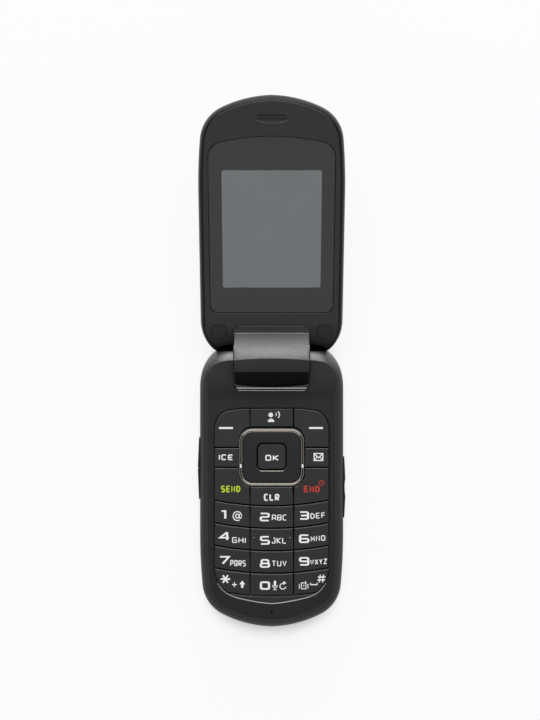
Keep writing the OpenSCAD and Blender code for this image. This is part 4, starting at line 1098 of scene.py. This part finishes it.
def along_barrel(end):
    inner = [i / 12 for i in range(-12, 13)]
    places = [(BARREL_HALF - 0.4) * i for i in inner]
    tips = [BARREL_HALF - 0.2, BARREL_HALF - 0.06, BARREL_HALF]
    places = [-t for t in reversed(tips)] + places + tips
    return [x for x in places if abs(x) <= end]


def hinge_barrel():
    """Dark barrel and neck, and the painted cover with its sparkling crest and flat front. The barrel's
    dark strip and the neck's paler tone are painted light, its near-black underside is painted shade,
    and the cover's top edge carries a painted highlight.
    """
    turn = [3.75 * i for i in range(96)]
    split = BARREL_R * sin(radians(-25))
    places = along_barrel(BARREL_HALF)
    body = lofted("barrel_body", [[barrel_point(x, a) for a in turn] for x in places])
    top = block((-FAR, split, -1.2), (FAR, FAR, FAR))
    # The barrel's underside is near-black: black plastic with painted shade.
    finish(combine(body, [top]), "lid", "barrel_grey", AT_HINGE, ["hinge_barrel"], "barrel_black_and_shade")
    core = [hinge_point(0, CORE_R, a)[1:] for a in turn]
    finish(prism_x("barrel_core", core, 0.3 - BARREL_HALF, BARREL_HALF - 0.3), "lid", "barrel_grey",
           AT_HINGE, look_of="barrel_black_and_shade")
    # Dark strip over the barrel's top, lighter than its underside: painted light.
    face = lofted("barrel_face", [[barrel_point(x, a) for a in turn] for x in places])
    cuts = [block((-FAR, 0.9, -FAR), (FAR, FAR, FAR)), block((-FAR, -FAR, -FAR), (FAR, split, FAR)),
            block((-FAR, -FAR, -FAR), (FAR, FAR, 5))]
    finish(combine(face, cuts), "lid", "barrel_grey", AT_HINGE, look_of="barrel_dark_painted_light")
    neck_low, neck_high, neck_half = -6.6, INNER_N - 1.2, NOTCH_HALF - 0.05
    neck = block((-neck_half, 5, neck_low), (neck_half, LID_NOTCH_Y + 0.1, neck_high))
    neck.name = "barrel_neck"
    finish(neck, "lid", "barrel_grey", LID, look_of="neck_black")
    rings = []
    for x in along_barrel(BARREL_HALF - 0.05):
        middle = 1 - (x / BARREL_HALF) ** 2
        edge, crease = 0.6 + 3.8 * middle, 24.8 + 4.2 * middle
        sink = max(0, abs(x) - (BARREL_HALF - 0.35)) * 0.6
        crest = [barrel_point(x, edge + 0.3 + (crease - edge - 0.3) * i / 10, 0.06) for i in range(11)]
        rim = COVER_EDGE - sink
        corner = Vector(hinge_point(x, rim, COVER_TURN))
        flat = [Vector(crest[-1]).lerp(corner, t) + BULGE * 6.75 * t * (1 - t) ** 2
                for t in (i / 12 for i in range(1, 13))]
        back = [hinge_point(x, rim, a) for a in (74, 76, 78, 80, 82, 84, 86)]
        back += [hinge_point(x, rim - d, a) for a, d in ((90, 0.03), (95, 0.15), (100, 0.4))]
        outer = [barrel_point(x, edge, -0.2), barrel_point(x, edge, 0.03)] + crest + flat + back
        under = [hinge_point(x, rim - 0.9, a) for a in (98, 84, 70)]
        inner = under + [barrel_point(x, crease - i * (crease - edge) / 8, -0.6) for i in range(9)]
        rings.append(outer + inner)

    # The cover's top edge gets a painted highlight, and its flat front painted shade towards the lid.
    def on_edge(middle, normal):
        return middle.y > 9.2 and normal.z > -0.2

    def on_facet(middle, normal):
        return middle.z > 0 and 0.45 < normal.y

    finish(lofted("barrel_cover", rings), "lid", "barrel_grey", AT_HINGE, sharp=14,
           accents=[(on_edge, "barrel_painted_highlight"), (on_facet, "barrel_facet")])


def hinge_ends():
    """Ends of the shaft and the sleeve, seen in the narrow gaps beside the barrel."""
    for node, name, r, x0, x1 in (("hinge_shaft", "shaft_pin", 1.35, 2.6, 15.6),
                                  ("hinge_sleeve", "sleeve_tube", 1.5, -15.6, -10.5)):
        finish(prism_x(name, ellipse(0, 0, r, 40), x0, x1), frame["nodes"][node]["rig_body"], "steel",
               AT_HINGE, [node], "shaft_steel")


# ---------- legends ----------

# Strokes on a grid of tenths: each pair is x and y, "a" is ten, and "z" closes the stroke.
GLYPHS = {
    "0": "000aaaa0z", "1": "0aaaa0", "2": "0aaaa50500a0", "3": "0aaaa000 15a5", "4": "8a03a3 8a80",
    "5": "aa0a05a5a000", "6": "aa0a00a0a505", "7": "0aaa30", "8": "00a0a505z 151a9a95",
    "9": "00a0aa0a05a5", "A": "000aaaa0 04a4", "B": "000aaaa0z 05a5", "C": "aa0a00a0",
    "D": "000a6aa7a360z", "E": "aa0a00a0 0595", "F": "aa0a00 0595", "G": "aa0a00a0a555",
    "H": "000a a0aa 05a5", "I": "000a", "J": "4aaaa00003", "K": "000a 15aa 15a0", "L": "0a00a0",
    "M": "000a53aaa0", "N": "000aa0aa", "O": "000aaaa0z", "P": "000aaaa404", "Q": "000aaaa0z 63a0",
    "R": "000aaaa404 44a0", "S": "aa0a05a5a000", "T": "0aaa 5a50", "U": "0a00a0aa", "V": "0a50aa",
    "W": "0a205880aa", "X": "00aa 0aa0", "Y": "0a55aa 5550", "Z": "0aaa00a0", "+": "05a5 505a",
}
SHARP = set("147KMNVWXYZ+IT")
NARROW = {"I": 0.0, "1": 0.62, "J": 0.8}
GRID = {c: i / 10 for i, c in enumerate("0123456789a")}


def glyph_strokes(char):
    strokes = []
    for text in GLYPHS[char].split():
        closed = text.endswith("z")
        text = text.rstrip("z")
        strokes.append(([(GRID[text[i]], GRID[text[i + 1]]) for i in range(0, len(text), 2)], closed))
    return strokes


def eased(points, closed, cut):
    """Stroke whose corners are rounded off."""
    if cut <= 0 or len(points) < 3:
        return points
    out = []
    last = len(points) - 1
    for i, p in enumerate(points):
        if not closed and i in (0, last):
            out.append(p)
            continue
        p, a, b = Vector(p), Vector(points[i - 1]), Vector(points[(i + 1) % len(points)])
        ca, cb = min(cut, (a - p).length / 2), min(cut, (b - p).length / 2)
        start, end = p + (a - p).normalized() * ca, p + (b - p).normalized() * cb
        for s in range(5):
            t = s / 4
            out.append(tuple(start * (1 - t) ** 2 + p * (2 * t * (1 - t)) + end * t * t))
    return out


def ribbon(points, closed, width):
    """Four-cornered faces along a stroke."""
    pts = [Vector(p) for p in points]
    n = len(pts)
    left, right = [], []
    for i, p in enumerate(pts):
        before = pts[i - 1] if closed or i else None
        after = pts[(i + 1) % n] if closed or i < n - 1 else None
        d1 = (p - before).normalized() if before is not None else (after - p).normalized()
        d2 = (after - p).normalized() if after is not None else d1
        n1, n2 = Vector((-d1.y, d1.x)), Vector((-d2.y, d2.x))
        step = (n1 + n2) * (width / 2 / max(0.35, 1 + n1.dot(n2)))
        left.append(p + step)
        right.append(p - step)
    pairs = range(n if closed else n - 1)
    return [[right[i], right[(i + 1) % n], left[(i + 1) % n], left[i]] for i in pairs]


def disc(x, y, r, a0=0, a1=360):
    return [[Vector((p[0], p[1])) for p in arc((x, y), r, a0, a1, 20)][:20 + (a1 - a0 < 360)]]


def curve(x, y, rx, ry, a0, a1, width):
    turn = [radians(a0 + (a1 - a0) * i / 18) for i in range(19)]
    return ribbon([(x + rx * cos(a), y + ry * sin(a)) for a in turn], False, width)


def line(width, *places, closed=False):
    """Faces of a stroke through x, y, x, y and so on."""
    return ribbon(list(zip(places[::2], places[1::2])), closed, width)


LETTER_GAP = 0.34                       # as a share of a letter's width


def word(text, x0, x1, y0, y1, width, turn=0.0, lean=1.0):
    """Faces of a word that fills x0..x1 and y0..y1, turned about its lower left corner.

    Level strokes are thinner than upright ones by the factor lean.
    """
    wide = [NARROW.get(c, 1.0) for c in text]
    height = (y1 - y0) * lean
    pitch = (x1 - x0 - width * len(text)) / (sum(wide) + LETTER_GAP * (len(text) - 1))
    faces, x = [], x0
    for char, share in zip(text, wide):
        for points, closed in glyph_strokes(char):
            placed = [(x + width / 2 + px * pitch * share, y0 + width / 2 + py * (height - width))
                      for px, py in points]
            placed = eased(placed, closed, 0 if char in SHARP else 0.85 * width)
            faces += ribbon(placed, closed, width)
        x += width + pitch * (share + LETTER_GAP)
    spin = Matrix.Rotation(radians(turn), 2)
    corner = Vector((x0, y0))
    return [[corner + spin @ Vector((p.x - x0, (p.y - y0) / lean)) for p in face] for face in faces]


def legend(name, key, faces, ink="print_white"):
    """Thin print of the union of these faces, on top of a key."""
    coords, index = [], []
    for face in faces:
        index.append(list(range(len(coords), len(coords) + len(face))))
        coords += [Vector((p[0], p[1])) for p in face]
    flat, _, tris = geometry.delaunay_2d_cdt(coords, [], index, 1, 1e-4)[:3]
    middles = [(t, sum((flat[i] for i in t), Vector((0, 0))) / 3) for t in tris]
    tris = [t for t, m in middles if any(holds(face, m.x, m.y) for face in faces)]
    top, n = key_top[key], len(flat)
    verts = [(p.x, p.y, top + 0.02) for p in flat] + [(p.x, p.y, top - 0.03) for p in flat]
    solid = [tuple(t) for t in tris] + [tuple(i + n for i in reversed(t)) for t in tris]
    sides = {}
    for t in tris:
        for a, b in zip(t, list(t[1:]) + [t[0]]):
            if (b, a) in sides:
                del sides[(b, a)]
            else:
                sides[(a, b)] = True
    solid += [(a, a + n, b + n, b) for a, b in sides]
    finish(new_piece("print_" + name, verts, solid), key, "key_black", look_of=ink)


def legends():
    legend("soft_left", "soft_key_left", line(0.66, -17.85, -22.85, -13.1, -22.85))
    legend("soft_right", "soft_key_right", line(0.66, 12.66, -22.85, 17.41, -22.85))
    person = disc(-0.29, -18.4, 0.8) + disc(-0.2, -20.8, 1.12, 0, 180)
    waves = (curve(0.75, -18.25, 0.85, 0.75, -45, 45, 0.28)
             + curve(0.55, -18.35, 2.1, 1.7, -38, 42, 0.38))
    legend("speaker", "speaker_key", person + waves)
    legend("ice", "ice_key", word("ICE", -17.9, -13.1, -33.75, -31.8, 0.42))
    legend("ok", "ok_key", word("OK", -2.15, 2.4, -33.95, -31.95, 0.42))
    flap = line(0.36, 14.5, -31.6, 15.87, -33.0, 17.24, -31.6)
    folds = line(0.3, 14.5, -33.8, 15.3, -32.7) + line(0.3, 17.24, -33.8, 16.44, -32.7)
    frame_lines = line(0.38, 14.4, -33.85, 17.34, -33.85, 17.34, -31.5, 14.4, -31.5, closed=True)
    legend("message", "message_key", frame_lines + flap + folds)
    legend("send", "send_key", word("SEND", -17.2, -10.6, -44.65, -42.4, 0.44), "print_green")
    legend("end", "end_key", word("END", 10.9, 16.3, -44.65, -42.45, 0.44)
           + curve(16.95, -41.5, 0.85, 0.85, 0, 360, 0.2) + line(0.2, 16.95, -41.9, 16.95, -41.1),
           "print_red")
    legend("clr", "clear_key", word("CLR", -2.65, 2.6, -47.55, -45.15, 0.54, lean=1.1))
    b, s = 0.74, 0.34
    legend("1", "key_1", word("1", -17.35, -15.35, -53.8, -50.75, b, lean=1.4)
           + curve(-11.62, -52.7, 1.45, 1.5, 5, 300, s)
           + curve(-11.62, -52.7, 0.6, 0.66, 0, 360, s)
           + line(s, -10.95, -52.0, -10.95, -53.3, -10.5, -53.45, -10.17, -52.9))
    rows = [("2", "key_2", -4.05, -0.62, -54.48, -51.56, "ABC", 0.05, 5.14, -54.2, -52.2, 0),
            ("3", "key_3", 9.31, 12.7, -53.94, -51.09, "DEF", 13.21, 18.3, -53.7, -51.75, 4),
            ("4", "key_4", -17.85, -14.12, -61.06, -57.94, "GHI", -13.44, -8.79, -61.75, -59.8, -2),
            ("5", "key_5", -3.98, -0.59, -62.41, -59.46, "JKL", 0.05, 5.04, -62.04, -60.0, 0),
            ("6", "key_6", 9.27, 12.77, -61.83, -58.92, "MNO", 13.31, 18.22, -61.35, -59.5, 4),
            ("7", "key_7", -17.85, -14.12, -69.12, -66.24, "PQRS", -14.1, -8.79, -69.6, -67.55, -2),
            ("8", "key_8", -4.01, -0.52, -70.21, -67.29, "TUV", 0.05, 5.07, -69.73, -67.8, 0),
            ("9", "key_9", 9.27, 12.77, -69.5, -66.58, "WXYZ", 13.17, 18.85, -69.3, -67.5, 4)]
    for digit, key, x0, x1, y0, y1, letters, lx0, lx1, ly0, ly1, turn in rows:
        legend(digit, key, word(digit, x0, x1, y0, y1, b, lean=1.4)
               + word(letters, lx0, lx1, ly0, ly1, s, turn, lean=1.15))
    nibs = [line(0.22, x, -60.0, x + 0.6, -60.0) for x in (-6.35, 5.95)]
    legend("nibs", "key_5", nibs[0] + nibs[1], "print_dim")
    star = []
    for a in (0, 58, 122):
        dx, dy = 1.6 * cos(radians(a)), 1.5 * sin(radians(a))
        star += line(0.55, -15.68 - dx, -74.04 - dy, -15.68 + dx, -74.04 + dy)
    plus = word("+", -13.6, -11.65, -76.9, -74.95, 0.34)
    up = line(0.8, -9.95, -77.0, -9.95, -75.6)
    up.append([Vector(p) for p in ((-11.0, -75.85), (-8.9, -75.85), (-9.95, -74.6))])
    legend("star", "key_star", star + plus + up)
    mic = line(0.75, 1.12, -74.95, 1.12, -76.2) + disc(1.12, -74.95, 0.37) + disc(1.12, -76.2, 0.37)
    mic += curve(1.12, -76.1, 0.85, 0.85, 180, 360, 0.24) + line(0.24, 1.12, -76.9, 1.12, -77.6)
    mic += line(0.24, 0.55, -77.6, 1.7, -77.6)
    redo = curve(3.8, -76.5, 1.0, 0.95, 115, 350, 0.3) + line(0.3, 3.4, -75.6, 4.2, -75.45)
    redo.append([Vector(p) for p in ((3.95, -76.05), (5.0, -75.35), (4.0, -74.75))])
    legend("0", "key_0", word("0", -3.98, -0.52, -77.7, -74.82, b, lean=1.25) + mic + redo)
    sharp = line(0.36, 16.1, -75.2, 16.5, -72.55) + line(0.36, 17.2, -75.2, 17.6, -72.55)
    sharp += line(0.36, 15.5, -74.35, 18.1, -74.35) + line(0.36, 15.65, -73.35, 18.25, -73.35)
    buzz = line(0.26, 10.1, -77.35, 11.65, -77.35, 11.65, -75.35, 10.1, -75.35, closed=True)
    buzz += line(0.26, 11.5, -75.4, 11.5, -74.7) + line(0.5, 10.75, -76.3, 11.05, -76.3)
    buzz += line(0.26, 9.4, -77.3, 9.4, -75.7) + line(0.26, 12.3, -77.3, 12.3, -75.7)
    space = line(0.34, 13.2, -75.3, 13.2, -75.95, 15.4, -75.95, 15.4, -75.3)
    legend("hash", "key_hash", sharp + buzz + space)


# ---------- surroundings ----------

CAMERA_X, CAMERA_Y, CAMERA_H = -0.557, 0.199, 545.6     # from the hinge axis, and above the table
FOCAL_PX, FRAME_H = 1582.5, 720
BACKGROUND = 0.94


def straight_ray(tree):
    """1 for camera, glossy and transmission rays."""
    rays = add(tree, "ShaderNodeLightPath").outputs
    glossy = add(tree, "ShaderNodeMath", operation="MAXIMUM", in_0=rays["Is Glossy Ray"],
                 in_1=rays["Is Transmission Ray"])
    return add(tree, "ShaderNodeMath", operation="MAXIMUM", in_0=glossy.outputs[0],
               in_1=rays["Is Camera Ray"]).outputs[0]


FLOOR_HALF, SHADE_REACH = 3000, 12
SHADES = (((0, 0, 1), 0.5), ((0, 0.75, 0.66), 0.62))       # from overhead, and from beyond the lid


def floor():
    """Pale floor; what the camera sees of it is white, with painted shade close to the phone."""
    corners = [(x * FLOOR_HALF, y * FLOOR_HALF, 0) for x, y in ((-1, -1), (1, -1), (1, 1), (-1, 1))]
    plane = new_piece("floor", corners, [(0, 1, 2, 3)])
    plane.data.transform(Matrix.Scale(MM, 4))
    material, tree, shader = node_material("floor_white")
    feed(shader, in_Base_Color=(0.8, 0.8, 0.8, 1), in_Roughness=0.9, in_Specular_IOR_Level=0.1)
    shades = []
    for (x, y, z), level in SHADES:
        lean = add(tree, "ShaderNodeCombineXYZ", in_X=x, in_Y=y, in_Z=z)
        near = add(tree, "ShaderNodeAmbientOcclusion", in_Distance=SHADE_REACH * MM,
                   in_Normal=lean.outputs[0])
        shades.append(add(tree, "ShaderNodeMapRange", in_From_Max=level,
                          in_Value=near.outputs["AO"]).outputs["Result"])
    darker = add(tree, "ShaderNodeMath", operation="MINIMUM", in_0=shades[0], in_1=shades[1])
    seen = add(tree, "ShaderNodeEmission", in_Color=(0.86, 0.855, 0.86, 1),
               in_Strength=darker.outputs[0])
    half = add(tree, "ShaderNodeBsdfDiffuse", in_Color=(0.13, 0.13, 0.13, 1))
    both = add(tree, "ShaderNodeAddShader", in_0=seen.outputs[0], in_1=half.outputs[0])
    mix = add(tree, "ShaderNodeMixShader", in_0=straight_ray(tree), in_1=shader.outputs[0],
              in_2=both.outputs[0])
    feed(tree.nodes["Material Output"], in_Surface=mix.outputs[0])
    plane.data.materials.append(material)


SKY = ((0.0, (BACKGROUND, BACKGROUND, BACKGROUND, 1)), (0.42, (0.28, 0.285, 0.29, 1)),
       (0.9, (0.15, 0.15, 0.155, 1)))


def world():
    """Studio that is white low down and dim overhead."""
    sky = bpy.data.worlds.new("studio")
    bpy.context.scene.world = sky
    sky.use_nodes = True
    tree = sky.node_tree
    tree.nodes.clear()
    where = add(tree, "ShaderNodeTexCoord").outputs["Generated"]
    split = add(tree, "ShaderNodeSeparateXYZ", in_0=where)
    ramp = add(tree, "ShaderNodeValToRGB", in_0=split.outputs["Z"])
    stops = ramp.color_ramp.elements
    stops[1].position = SKY[-1][0]
    stops.new(SKY[1][0])
    for stop, (_, colour) in zip(stops, SKY):
        stop.color = colour
    background = add(tree, "ShaderNodeBackground", in_Color=ramp.outputs["Color"])
    add(tree, "ShaderNodeOutputWorld", in_Surface=background.outputs[0])


def softbox(name, place, target, size, power):
    lamp = bpy.data.lights.new(name, "AREA")
    lamp.shape = "RECTANGLE"
    lamp.size, lamp.size_y = size[0] * MM, size[1] * MM
    lamp.energy = power
    holder = bpy.data.objects.new(name, lamp)
    bpy.context.scene.collection.objects.link(holder)
    holder.location = Vector(place) * MM
    holder.rotation_euler = (Vector(target) - Vector(place)).to_track_quat("-Z", "Y").to_euler()


def camera():
    lens = bpy.data.cameras.new("camera")
    lens.lens = FOCAL_PX * lens.sensor_width / FRAME_H
    lens.clip_start, lens.clip_end = 0.01, 20
    holder = bpy.data.objects.new("camera", lens)
    bpy.context.scene.collection.objects.link(holder)
    holder.location = Vector((CAMERA_X, AXIS.y + CAMERA_Y, CAMERA_H)) * MM
    bpy.context.scene.camera = holder


def plain_nodes():
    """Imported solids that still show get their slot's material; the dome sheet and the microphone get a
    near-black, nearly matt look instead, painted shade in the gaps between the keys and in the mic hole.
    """
    slot_of = {row["node"]: row["material_slot"] for row in frame["record"]["subparts"]}
    for name, piece in frame["nodes"].items():
        piece.data.materials.clear()
        dark = name in ("keypad_domes", "microphone")
        piece.data.materials.append(LOOKS["web_black_and_shade" if dark else slot_of[name]])


plain_nodes()
base_front()
base_rear()
battery_door()
lip_edges()
side_pads()
socket_caps()
keys()
navigation()
lid_inner()
notch_painted_highlight()
lid_outer()
display()
bumpers()
outer_window()
hinge_barrel()
hinge_ends()
legends()
floor()
world()
softbox("overhead_light", (0, 1000, 1375), (0, 0, 0), (1500, 1500), 22)
softbox("back_light", (0, 1640, 440), (0, 0, 0), (1500, 780), 12)
softbox("front_light", (0, -1000, 1300), (0, 0, 0), (1200, 900), 2.4)
camera()
bpy.context.scene.view_settings.view_transform = "Standard"
